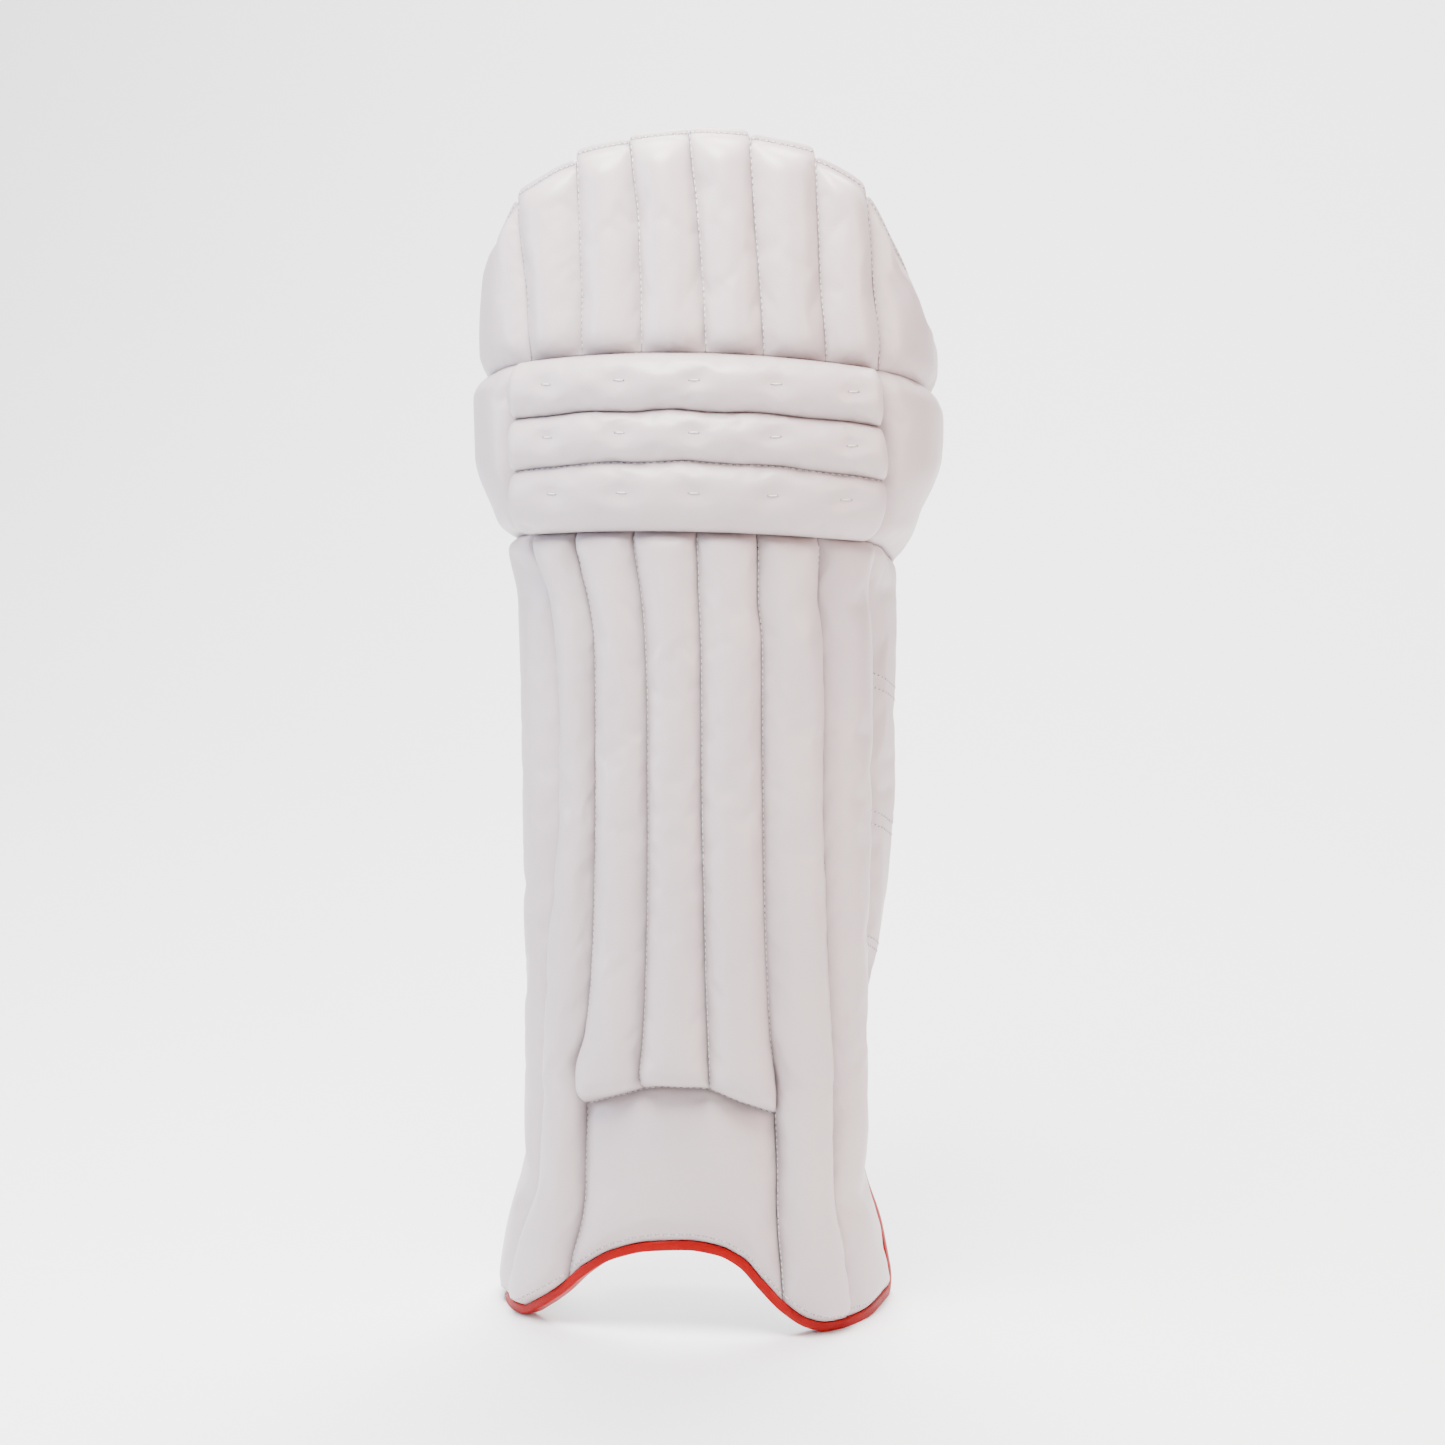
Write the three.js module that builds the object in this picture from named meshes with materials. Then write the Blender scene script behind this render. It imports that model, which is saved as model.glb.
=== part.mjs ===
// A cricket batting leg guard for the left leg: a hollow shell of padded rolls that stands on two lobes.
// The guard faces -Y, its open back faces +Y, and it is measured in millimetres with +Z up.

import * as THREE from "three";
import { mergeVertices } from "three/addons/utils/BufferGeometryUtils.js";

// Heights of the three zones, taken at the middle of the guard
const GUARD_HEIGHT = 693;
const KNEE_TOP = 569;
const SHIN_TOP = 469;
const INSTEP_TOP = 147;
const ARCH_RISE = 53;
const CALF_WING_LOW = 185;

// Widths across the seams, and how far the shell reaches forward of its side line
const FOOT_WIDTH = 216;
const SHIN_WIDTH = 178;
const KNEE_WIDTH = 247;
const HAT_WIDTH = 229;
const FRONT_REACH = 62;

// Padding above the seams
const EDGE_THICKNESS = 3;
const SHIN_ROLL_PUFF = 19;
const CORNER_ROLL_PUFF = 15;
const SIDE_ROLL_PUFF = 10;
const KNEE_ROLL_PUFF = 22;
const KNEE_WING_PUFF = 10;
const HAT_ROLL_PUFF = 11;
const HAT_FLAP_PUFF = 6;
const INSTEP_PUFF = 8;
const CALF_WING_PUFF = 6;

// Rounding of the padding towards its edges
const ROLL_END_ROUND = 14;
const WING_ROUND = 12;
const PANEL_ROUND = 16;
const HAT_FLANGE = 4;
const HAT_CORNER = 5;
const LOBE_CORNER = 12;

// Inner wall, edge binding and straps
const WALL_THICKNESS = 5;
const WALL_GAP = 0.9;
const SEAM_GAP = 0.6;
const STRAP_GAP = 0.8;
const BINDING_GAP = 0.9;
const BINDING_HEIGHT = 5;
const BINDING_PROUD = 1.5;
const BINDING_TOP = 140;
const STRAP_WIDTH = 40;
const STRAP_THICKNESS = 3;
const STRAP_TAB = 28;

// Facets
const ROLL_COLUMNS = 6;
const WING_COLUMNS = 8;
const FLAP_COLUMNS = 10;
const INSTEP_COLUMNS = 14;
const KNEE_COLUMNS = 16;
const HAT_ROWS = 3;
const INSTEP_ROWS = 3;
const KNEE_WING_ROWS = 6;
const WALL_ROWS_BELOW = 3;
const WALL_ROWS_OVER = 5;
const RIM_STEPS = 2;
const BINDING_STEPS = 36;
const BINDING_CLIMB_STEPS = 5;
const BINDING_TURN_STEPS = 4;
const BINDING_SIDES = 6;
const STRAP_TAB_STEPS = 2;
const STRAP_LOOP_STEPS = 12;

// Share of its handles that a Bezier loop reaches, step for measuring a slope, and passes that settle a point
const LOOP_REACH = 0.75;
const SLOPE_STEP = 0.01;
const SETTLE_PASSES = 5;

// Zones of the guard, from low to high
const ZONES = {
  shin: [0, SHIN_TOP],
  knee: [SHIN_TOP, KNEE_TOP],
  hat: [KNEE_TOP, GUARD_HEIGHT],
};

// Plan sections: width is a share of the width named in its row, front a share of FRONT_REACH, bow (the
// radius of the flat middle) and shift (sideways) shares of KNEE_WIDTH. Turn and flare are degrees.
const SECTIONS = [
  { zone: "shin", share: 0, of: FOOT_WIDTH, width: 1, front: 1,
    bow: 0.62, turn: 22, flare: 7, shift: -0.042 },
  { zone: "shin", share: 0.09, of: FOOT_WIDTH, width: 0.93, front: 0.92,
    bow: 0.62, turn: 22, flare: 7, shift: -0.034 },
  { zone: "shin", share: 0.19, of: SHIN_WIDTH, width: 1.01, front: 0.8,
    bow: 0.62, turn: 22, flare: 4, shift: -0.02 },
  { zone: "shin", share: 0.32, of: SHIN_WIDTH, width: 0.99, front: 0.74,
    bow: 0.62, turn: 22, flare: 4, shift: -0.017 },
  { zone: "shin", share: 0.65, of: SHIN_WIDTH, width: 1, front: 0.73,
    bow: 0.62, turn: 22, flare: 11, shift: -0.017 },
  { zone: "shin", share: 0.9, of: SHIN_WIDTH, width: 1.03, front: 0.75,
    bow: 0.62, turn: 22, flare: 10, shift: -0.015 },
  { zone: "knee", share: 0, of: KNEE_WIDTH, width: 0.885, front: 0.8,
    bow: 0.66, turn: 25, flare: 5, shift: -0.014 },
  { zone: "knee", share: 0.35, of: KNEE_WIDTH, width: 0.99, front: 0.88,
    bow: 0.72, turn: 28, flare: 0, shift: -0.01 },
  { zone: "knee", share: 1, of: KNEE_WIDTH, width: 1, front: 0.9,
    bow: 0.72, turn: 28, flare: 0, shift: -0.01 },
  { zone: "hat", share: 0.3, of: KNEE_WIDTH, width: 0.98, front: 0.83,
    bow: 0.72, turn: 28, flare: 0, shift: -0.014 },
  { zone: "hat", share: 1, of: HAT_WIDTH, width: 1, front: 0.65,
    bow: 0.72, turn: 28, flare: 0, shift: -0.022 },
].map(atHeight);

// Seams between the shin rolls, from the inner side to the outer: shares of the half girth, minus on the
// inner side. back_in and back_out are the two free edges behind, seam_7 is where the calf wing starts.
const SHIN_SEAMS = [
  { share: 0, back_in: -1.22, seam_1: -0.74, seam_2: -0.43, seam_3: -0.18,
    seam_4: 0.14, seam_5: 0.435, seam_6: 0.72, seam_7: 1.2, back_out: 1.2 },
  { share: 0.12, back_in: -1.18, seam_1: -0.73, seam_2: -0.437, seam_3: -0.18,
    seam_4: 0.14, seam_5: 0.443, seam_6: 0.73, seam_7: 1.18, back_out: 1.18 },
  { share: 0.2, back_in: -1.14, seam_1: -0.73, seam_2: -0.48, seam_3: -0.183,
    seam_4: 0.137, seam_5: 0.458, seam_6: 0.733, seam_7: 1.12, back_out: 1.12 },
  { share: 0.28, back_in: -1.11, seam_1: -0.72, seam_2: -0.49, seam_3: -0.183,
    seam_4: 0.137, seam_5: 0.447, seam_6: 0.733, seam_7: 1.08, back_out: 1.08 },
  { share: 0.32, back_in: -1.1, seam_1: -0.72, seam_2: -0.505, seam_3: -0.182,
    seam_4: 0.137, seam_5: 0.438, seam_6: 0.732, seam_7: 1.07, back_out: 1.07 },
  { share: 0.38, back_in: -1.1, seam_1: -0.71, seam_2: -0.455, seam_3: -0.165,
    seam_4: 0.13, seam_5: 0.412, seam_6: 0.722, seam_7: 1.06, back_out: 1.12 },
  { share: 0.47, back_in: -1.1, seam_1: -0.69, seam_2: -0.423, seam_3: -0.152,
    seam_4: 0.117, seam_5: 0.393, seam_6: 0.7, seam_7: 1.06, back_out: 1.4 },
  { share: 0.55, back_in: -1.1, seam_1: -0.65, seam_2: -0.411, seam_3: -0.145,
    seam_4: 0.111, seam_5: 0.381, seam_6: 0.686, seam_7: 1.06, back_out: 1.48 },
  { share: 0.65, back_in: -1.1, seam_1: -0.61, seam_2: -0.4, seam_3: -0.142,
    seam_4: 0.101, seam_5: 0.373, seam_6: 0.664, seam_7: 1.05, back_out: 1.51 },
  { share: 0.76, back_in: -1.1, seam_1: -0.6, seam_2: -0.395, seam_3: -0.142,
    seam_4: 0.097, seam_5: 0.364, seam_6: 0.657, seam_7: 1.04, back_out: 1.49 },
  { share: 0.86, back_in: -1.1, seam_1: -0.61, seam_2: -0.394, seam_3: -0.15,
    seam_4: 0.092, seam_5: 0.354, seam_6: 0.634, seam_7: 1, back_out: 1.46 },
  { share: 0.93, back_in: -1.12, seam_1: -0.625, seam_2: -0.42, seam_3: -0.165,
    seam_4: 0.078, seam_5: 0.32, seam_6: 0.58, seam_7: 0.9, back_out: 1.37 },
  { share: 1, back_in: -1.12, seam_1: -0.63, seam_2: -0.41, seam_3: -0.173,
    seam_4: 0.059, seam_5: 0.272, seam_6: 0.5, seam_7: 0.77, back_out: 1.17 },
].map((row) => atHeight({ zone: "shin", ...row }));

// Ends of the knee rolls and the free edges of the knee wings, as shares of the half girth
const KNEE_ENDS = [
  { share: 0, end_in: -0.64, end_out: 0.71, back_in: -1.15, back_out: 1.17 },
  { share: 0.3, end_in: -0.6, end_out: 0.675, back_in: -1.17, back_out: 1.17 },
  { share: 0.7, end_in: -0.585, end_out: 0.645, back_in: -1.17, back_out: 1.17 },
  { share: 1, end_in: -0.575, end_out: 0.635, back_in: -1.17, back_out: 1.17 },
].map((row) => atHeight({ zone: "knee", ...row }));

// Seams between the top hat's pieces, as shares of the half girth
const HAT_SEAMS = [
  { share: 0, back_in: -1.2, seam_1: -0.55, seam_2: -0.345, seam_3: -0.132,
    seam_4: 0.08, seam_5: 0.268, seam_6: 0.475, seam_7: 0.67, back_out: 1.2 },
  { share: 0.25, back_in: -1.2, seam_1: -0.58, seam_2: -0.352, seam_3: -0.137,
    seam_4: 0.076, seam_5: 0.266, seam_6: 0.472, seam_7: 0.668, back_out: 1.2 },
  { share: 0.6, back_in: -1.2, seam_1: -0.645, seam_2: -0.375, seam_3: -0.152,
    seam_4: 0.06, seam_5: 0.257, seam_6: 0.48, seam_7: 0.672, back_out: 1.2 },
  { share: 1, back_in: -1.2, seam_1: -0.72, seam_2: -0.41, seam_3: -0.195,
    seam_4: 0.03, seam_5: 0.25, seam_6: 0.49, seam_7: 0.675, back_out: 1.2 },
].map((row) => atHeight({ zone: "hat", ...row }));

// Level seams of the knee: height as a share of the knee zone, and how much its ends droop as a share of it
const KNEE_LEVELS = [
  { share: 0, droop: 0.17 },
  { share: 0.4, droop: 0.3 },
  { share: 0.685, droop: 0.26 },
  { share: 1, droop: 0.25 },
];

// Bottom edge between the two lobes: rise is a share of ARCH_RISE, at is a share of the half girth
const ARCH = [
  { at: -0.64, rise: 0 },
  { at: -0.55, rise: 0.16 },
  { at: -0.45, rise: 0.38 },
  { at: -0.36, rise: 0.64 },
  { at: -0.25, rise: 0.85 },
  { at: -0.1, rise: 0.97 },
  { at: 0.06, rise: 1 },
  { at: 0.18, rise: 0.95 },
  { at: 0.27, rise: 0.82 },
  { at: 0.35, rise: 0.56 },
  { at: 0.43, rise: 0.3 },
  { at: 0.52, rise: 0.09 },
  { at: 0.6, rise: 0 },
];

// Top edge of the instep panel, as a share of INSTEP_TOP
const INSTEP_EDGE = [
  { at: -0.5, rise: 0.9 },
  { at: -0.32, rise: 0.95 },
  { at: -0.08, rise: 1 },
  { at: 0.08, rise: 1 },
  { at: 0.28, rise: 0.945 },
  { at: 0.46, rise: 0.89 },
];

// Top edge of the hat, as a share of its height
const HAT_EDGE = [
  { at: -1.25, rise: 0.04 },
  { at: -1.05, rise: 0.2 },
  { at: -0.9, rise: 0.4 },
  { at: -0.75, rise: 0.56 },
  { at: -0.68, rise: 0.66 },
  { at: -0.58, rise: 0.75 },
  { at: -0.45, rise: 0.86 },
  { at: -0.3, rise: 0.93 },
  { at: -0.15, rise: 0.97 },
  { at: 0.05, rise: 1 },
  { at: 0.25, rise: 0.985 },
  { at: 0.36, rise: 0.95 },
  { at: 0.48, rise: 0.9 },
  { at: 0.6, rise: 0.8 },
  { at: 0.7, rise: 0.67 },
  { at: 0.78, rise: 0.5 },
  { at: 0.85, rise: 0.375 },
  { at: 0.93, rise: 0.22 },
  { at: 1.05, rise: 0.12 },
  { at: 1.25, rise: 0.03 },
];

// Fullness of a shin roll from its lower end to its upper end, as a share of its puff
const ROLL_FULLNESS = [
  { at: 0, full: 1.15 },
  { at: 0.1, full: 1.1 },
  { at: 0.3, full: 1 },
  { at: 0.8, full: 0.92 },
  { at: 1, full: 0.8 },
];
const SIDE_FULLNESS = [
  { at: 0, full: 0.75 },
  { at: 0.25, full: 1 },
];
const OUTER_FULLNESS = [
  { at: 0, full: 0.5 },
  { at: 0.12, full: 0.6 },
  { at: 0.24, full: 1 },
];

// Straps behind the leg: height as a share of a zone, bulge behind the edges as a share of SHIN_WIDTH
const STRAPS = [
  { name: "ankle_strap", zone: "shin", share: 0.244, bulge: 0.24 },
  { name: "calf_strap", zone: "shin", share: 0.68, bulge: 0.26 },
  { name: "knee_strap", zone: "knee", share: 0.2, bulge: 0.24 },
].map(atHeight);

// Heights of the facets of the shin, as shares of its height, shared by the rolls, the wing and the wall
const SHIN_LEVELS = [0.07, 0.13, 0.2, 0.28, 0.32, 0.35, 0.39, 0.48, 0.65, 0.8, 0.88, 0.935];
const KNEE_WALL_LEVELS = [0, 0.15, 0.35, 0.65];

// Columns of the wall as shares of its width, up to its middle
const WALL_COLUMNS = [0, 0.04, 0.085, 0.13, 0.175, 0.22, 0.26, 0.295, 0.33, 0.365, 0.4, 0.45, 0.5];

const MATERIALS = {
  white: new THREE.MeshStandardMaterial({ color: 0xe2dfe3, roughness: 0.5, metalness: 0 }),
  red: new THREE.MeshStandardMaterial({ color: 0xcc2626, roughness: 0.35, metalness: 0 }),
  lining: new THREE.MeshStandardMaterial({ color: 0xd9d7da, roughness: 0.85, metalness: 0 }),
  webbing: new THREE.MeshStandardMaterial({ color: 0xd4d2d4, roughness: 0.8, metalness: 0 }),
};

// Tables and plain maths

function atHeight(row) {
  const [low, high] = ZONES[row.zone];
  return { ...row, at: low + row.share * (high - low) };
}

function mix(a, b, share) {
  return a + (b - a) * share;
}

// Shares from 0 to 1 with count equal steps
function evenShares(count) {
  return Array.from({ length: count + 1 }, (_, k) => k / count);
}

// Smooth value of one column between the rows of a table, without overshoot
function along(rows, column, at) {
  const last = rows.length - 1;
  if (at <= rows[0].at) return rows[0][column];
  if (at >= rows[last].at) return rows[last][column];
  const i = rows.findIndex((row, k) => k > 0 && row.at >= at) - 1;
  const slope = (k) => (rows[k + 1][column] - rows[k][column]) / (rows[k + 1].at - rows[k].at);
  const tangent = (k) => {
    if (k === 0) return slope(0);
    if (k === last) return slope(last - 1);
    const before = slope(k - 1);
    const after = slope(k);
    return before * after <= 0 ? 0 : (2 * before * after) / (before + after);
  };
  const span = rows[i + 1].at - rows[i].at;
  const t = (at - rows[i].at) / span;
  const bend = span * t * (1 - t) * ((1 - t) * (tangent(i) - slope(i)) - t * (tangent(i + 1) - slope(i)));
  return mix(rows[i][column], rows[i + 1][column], t) + bend;
}

// Quarter-round rise from 0 at an edge to 1 at a distance of radius from it
function dome(distance, radius) {
  const left = 1 - Math.min(Math.max(distance / radius, 0), 1);
  return Math.sqrt(1 - left * left);
}

// Drop of a rounded corner at a distance from its side
function cornerDrop(distance, radius) {
  return radius * (1 - dome(distance, radius));
}

// Offsets from an edge to the full height of a rounded rim
function rimOffsets(rim) {
  return evenShares(RIM_STEPS).map((share) => rim * (1 - Math.cos((Math.PI * share) / 2)));
}

// Shares of a rounded arc from 0 to 1, closer at both ends
function arcShares(count) {
  return evenShares(count).map((share) => (1 - Math.cos(Math.PI * share)) / 2);
}

// Shares of a length between 0 and 1, with count spaces, closer in its rounded rims
function spaced(count, length, rim) {
  if (2 * rim >= length) return arcShares(count);
  const offsets = rimOffsets(rim).map((offset) => offset / length);
  const inner = evenShares(count - 2 * RIM_STEPS).slice(1, -1);
  const middle = inner.map((share) => mix(rim / length, 1 - rim / length, share));
  return [...offsets, ...middle, ...offsets.map((share) => 1 - share).reverse()];
}

// Rows of a piece as functions of its low and high border: rims at both ends, and what is given between
function rowsWithRims(rim, inner, flange = 0) {
  const below = rimOffsets(rim).map((offset) => (low) => low + offset);
  const over = rimOffsets(rim).map((offset) => (low, high) => high - flange - offset);
  return [...below, ...inner, ...over.reverse(), ...(flange ? [(low, high) => high] : [])];
}

// Rows that divide the space between the rims evenly
function evenRows(rim, count, flange = 0) {
  const inner = evenShares(count).slice(1, -1);
  return inner.map((share) => (low, high) => mix(low + rim, high - flange - rim, share));
}

// Rows at the shared levels of the shin from a height upwards
function levelRows(from) {
  return SHIN_LEVELS.map((share) => share * SHIN_TOP).filter((z) => z > from).map((z) => () => z);
}

// The shell's seam surface

// Measures of the plan curve at a height
function sectionAt(z) {
  const read = (column) => along(SECTIONS, column, z);
  const half = along(SECTIONS.map((row) => ({ at: row.at, half: (row.width * row.of) / 2 })), "half", z);
  const bow = read("bow") * KNEE_WIDTH;
  const turn = THREE.MathUtils.degToRad(read("turn"));
  const side = (half - bow * Math.sin(turn)) / (1 - Math.sin(turn));
  return {
    bow,
    turn,
    side,
    flare: THREE.MathUtils.degToRad(read("flare")),
    front: -read("front") * FRONT_REACH,
    shift: read("shift") * KNEE_WIDTH,
    girth: bow * turn + side * (Math.PI / 2 - turn),
  };
}

// Point and level outward direction on the seam surface at a share of the half girth and a height
function onShell(share, z) {
  const s = sectionAt(z);
  const hand = Math.sign(share) || 1;
  const length = Math.abs(share) * s.girth;
  const middle = s.bow * s.turn;
  const stop = Math.PI / 2 - (hand > 0 ? s.flare : 0);
  const angle = length < middle ? length / s.bow : Math.min(s.turn + (length - middle) / s.side, stop);
  const bowAngle = Math.min(angle, s.turn);
  let x = s.bow * Math.sin(bowAngle);
  let y = s.front + s.bow * (1 - Math.cos(bowAngle));
  if (angle > s.turn) {
    x += s.side * (Math.sin(angle) - Math.sin(s.turn));
    y += s.side * (Math.cos(s.turn) - Math.cos(angle));
  }
  const straight = Math.max(length - middle - s.side * (stop - s.turn), 0);
  x += straight * Math.cos(angle);
  y += straight * Math.sin(angle);
  return {
    point: new THREE.Vector3(s.shift + hand * x, y, z),
    out: new THREE.Vector3(hand * Math.sin(angle), -Math.cos(angle), 0),
  };
}

// Point at a depth above the seam surface
function above(share, z, depth) {
  const { point, out } = onShell(share, z);
  return point.addScaledVector(out, depth);
}

// Seams and edges

const EDGES = [...SHIN_SEAMS, ...KNEE_ENDS.slice(1), ...HAT_SEAMS.slice(1)];
const backIn = (z) => along(EDGES, "back_in", z);
const backOut = (z) => along(EDGES, "back_out", z);
const shinSeam = (number) => (z) => along(SHIN_SEAMS, "seam_" + number, z);
const hatSeam = (number) => (z) => along(HAT_SEAMS, "seam_" + number, z);
const kneeEndIn = (z) => along(KNEE_ENDS, "end_in", z);
const kneeEndOut = (z) => along(KNEE_ENDS, "end_out", z);

// Height of a level knee seam, which droops towards the sides
const kneeLevel = (number) => (share) => {
  const level = KNEE_LEVELS[number];
  const reach = Math.abs(share);
  const droop = reach < 1 ? reach * reach : 2 * reach - 1;
  return SHIN_TOP + (level.share - level.droop * droop) * (KNEE_TOP - SHIN_TOP);
};

const archEdge = (share) => along(ARCH, "rise", share) * ARCH_RISE;
const instepEdge = (share) => along(INSTEP_EDGE, "rise", share) * INSTEP_TOP;
const hatEdge = (share) => KNEE_TOP + along(HAT_EDGE, "rise", share) * (GUARD_HEIGHT - KNEE_TOP);

// Upright height of the binding, which grows where the arch is steep so that its thickness stays the same
const bindingTall = (share) => {
  const run = 2 * SLOPE_STEP * sectionAt(0).girth;
  const slope = (archEdge(share + SLOPE_STEP) - archEdge(share - SLOPE_STEP)) / run;
  return BINDING_HEIGHT * Math.hypot(1, slope);
};

// Bottom edge of the shell, just above its binding, rounded at the two corners behind
const shellBottom = (share) => {
  const base = archEdge(share) + bindingTall(share) + BINDING_GAP;
  const edge = share < 0 ? backIn(base) : backOut(base);
  const toCorner = (Math.abs(edge) - Math.abs(share)) * sectionAt(base).girth;
  return base + cornerDrop(toCorner, LOBE_CORNER);
};

// Meshes

// A box divided into a grid and bent: place() turns shares across, up and through into a point
function bentBox(columns, rows, place) {
  const box = new THREE.BoxGeometry(1, 1, 1, columns.length - 1, rows.length - 1, 1);
  box.deleteAttribute("normal");
  box.deleteAttribute("uv");
  const geometry = mergeVertices(box);
  const positions = geometry.getAttribute("position");
  for (let i = 0; i < positions.count; i++) {
    const column = Math.round((positions.getX(i) + 0.5) * (columns.length - 1));
    const row = Math.round((positions.getY(i) + 0.5) * (rows.length - 1));
    const point = place(columns[column], rows[row], positions.getZ(i) + 0.5);
    positions.setXYZ(i, point.x, point.y, point.z);
  }
  geometry.computeVertexNormals();
  return geometry;
}

// Height half way up between four borders
function middleOf({ left, right, low, high }) {
  let z = (low(0) + high(0)) / 2;
  for (let pass = 0; pass < SETTLE_PASSES; pass++) {
    const share = (left(z) + right(z)) / 2;
    z = (low(share) + high(share)) / 2;
  }
  return z;
}

// Share and height inside four borders, where the borders depend on each other
function within(borders, across, row) {
  let z = middleOf(borders);
  let share = mix(borders.left(z), borders.right(z), across);
  let low = 0;
  let high = 0;
  for (let pass = 0; pass < SETTLE_PASSES; pass++) {
    low = borders.low(share) + borders.inset;
    high = borders.high(share) - borders.inset;
    z = row(low, high);
    const inset = borders.inset / sectionAt(z).girth;
    share = mix(borders.left(z) + inset, borders.right(z) - inset, across);
  }
  return { share, z, low, high };
}

// A padded piece between four borders. Sides and ends are the widths over which its padding rises.
function paddedPiece({ borders, puff, sides, ends, columns, rows, full = () => 1, flange = 0, corner = 0 }) {
  const widthAt = (z) => (borders.right(z) - borders.left(z)) * sectionAt(z).girth;
  const across = spaced(columns, widthAt(middleOf(borders)), sides);
  return bentBox(across, rows, (p, row, through) => {
    const { share, z, low, high } = within(borders, p, row);
    const width = widthAt(z);
    const tall = high - low;
    const fromSide = Math.min(p, 1 - p) * width;
    const fromEnd = Math.min(z - low, high - flange - z);
    const rise = dome(fromSide, Math.min(sides, width / 2)) * dome(fromEnd, Math.min(ends, tall / 2));
    const up = (z - low) / tall;
    const depth = through * (EDGE_THICKNESS + puff * full(up) * rise);
    return above(share, z - up * (corner ? cornerDrop(fromSide, corner) : 0), depth);
  });
}

// The plain wall that all the padding is sewn to, open at the back. Its rows are level between the instep
// and the top of the knee, and fan out to the bottom and top edges beyond.
function wallGeometry() {
  const borders = { left: backIn, right: backOut, low: shellBottom, high: hatEdge, inset: 0 };
  const shin = levelRows(ARCH_RISE + 2 * LOBE_CORNER);
  const knee = KNEE_WALL_LEVELS.map((share) => () => mix(SHIN_TOP, KNEE_TOP, share));
  const first = shin[0]();
  const last = knee[knee.length - 1]();
  const rows = [
    ...evenShares(WALL_ROWS_BELOW).slice(0, -1).map((share) => (low) => mix(low, first, share)),
    ...shin,
    ...knee,
    ...evenShares(WALL_ROWS_OVER).slice(1).map((share) => (low, high) => mix(last, high, share)),
  ];
  const half = WALL_COLUMNS.slice(0, -1);
  const columns = [...WALL_COLUMNS, ...half.map((share) => 1 - share).reverse()];
  return bentBox(columns, rows, (across, row, through) => {
    const { share, z } = within(borders, across, row);
    return above(share, z, -WALL_GAP - (1 - through) * WALL_THICKNESS);
  });
}

// Route of the binding as shares and heights: down one back edge, under the lobes and arch, up the other
function bindingRoute() {
  const off = BINDING_HEIGHT / 2 + BINDING_GAP;
  const cornerZ = BINDING_HEIGHT + BINDING_GAP + LOBE_CORNER;
  const rear = (hand) => {
    const edge = hand < 0 ? backIn : backOut;
    const girthAt = (z) => sectionAt(z).girth;
    const climb = evenShares(BINDING_CLIMB_STEPS).map((share) => {
      const z = mix(BINDING_TOP, cornerZ, share);
      return { share: edge(z) + (hand * off) / girthAt(z), z };
    });
    const corner = evenShares(BINDING_TURN_STEPS).slice(1).map((turned) => {
      const angle = (turned * Math.PI) / 2;
      const z = cornerZ - Math.sin(angle) * (LOBE_CORNER + off);
      const side = LOBE_CORNER - Math.cos(angle) * (LOBE_CORNER + off);
      const base = BINDING_HEIGHT + BINDING_GAP;
      return { share: edge(base) - (hand * side) / girthAt(base), z };
    });
    return [...climb, ...corner];
  };
  const left = rear(-1);
  const right = rear(1);
  const from = left[left.length - 1].share;
  const to = right[right.length - 1].share;
  const under = evenShares(BINDING_STEPS).slice(1, -1).map((step) => {
    const share = mix(from, to, step);
    return { share, z: archEdge(share) + bindingTall(share) / 2, tall: bindingTall(share) };
  });
  return [...left, ...under, ...right.reverse()];
}

// A strip that follows a route on the shell, flat underneath and rounded at the front and back
function bindingGeometry() {
  const route = bindingRoute();
  const tube = new THREE.CylinderGeometry(1, 1, 1, BINDING_SIDES, route.length - 1);
  tube.deleteAttribute("normal");
  tube.deleteAttribute("uv");
  const geometry = mergeVertices(tube);
  const positions = geometry.getAttribute("position");
  const flat = Math.cos(Math.PI / BINDING_SIDES);
  const inner = -WALL_GAP - WALL_THICKNESS;
  const outer = EDGE_THICKNESS + BINDING_PROUD;
  for (let i = 0; i < positions.count; i++) {
    const k = Math.round((positions.getY(i) + 0.5) * (route.length - 1));
    const here = route[k];
    const before = route[Math.max(k - 1, 0)];
    const after = route[Math.min(k + 1, route.length - 1)];
    const girth = sectionAt(here.z).girth;
    const run = new THREE.Vector2((after.share - before.share) * girth, after.z - before.z).normalize();
    const thick = -positions.getX(i) / (2 * flat);
    const depth = mix(inner, outer, (positions.getZ(i) + 1) / 2);
    const rise = here.tall ? thick * here.tall : thick * BINDING_HEIGHT * run.x;
    const slide = here.tall ? 0 : (-thick * BINDING_HEIGHT * run.y) / girth;
    const point = above(here.share + slide, Math.max(here.z + rise, 0), depth);
    positions.setXYZ(i, point.x, point.y, point.z);
  }
  geometry.computeVertexNormals();
  return geometry;
}

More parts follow.
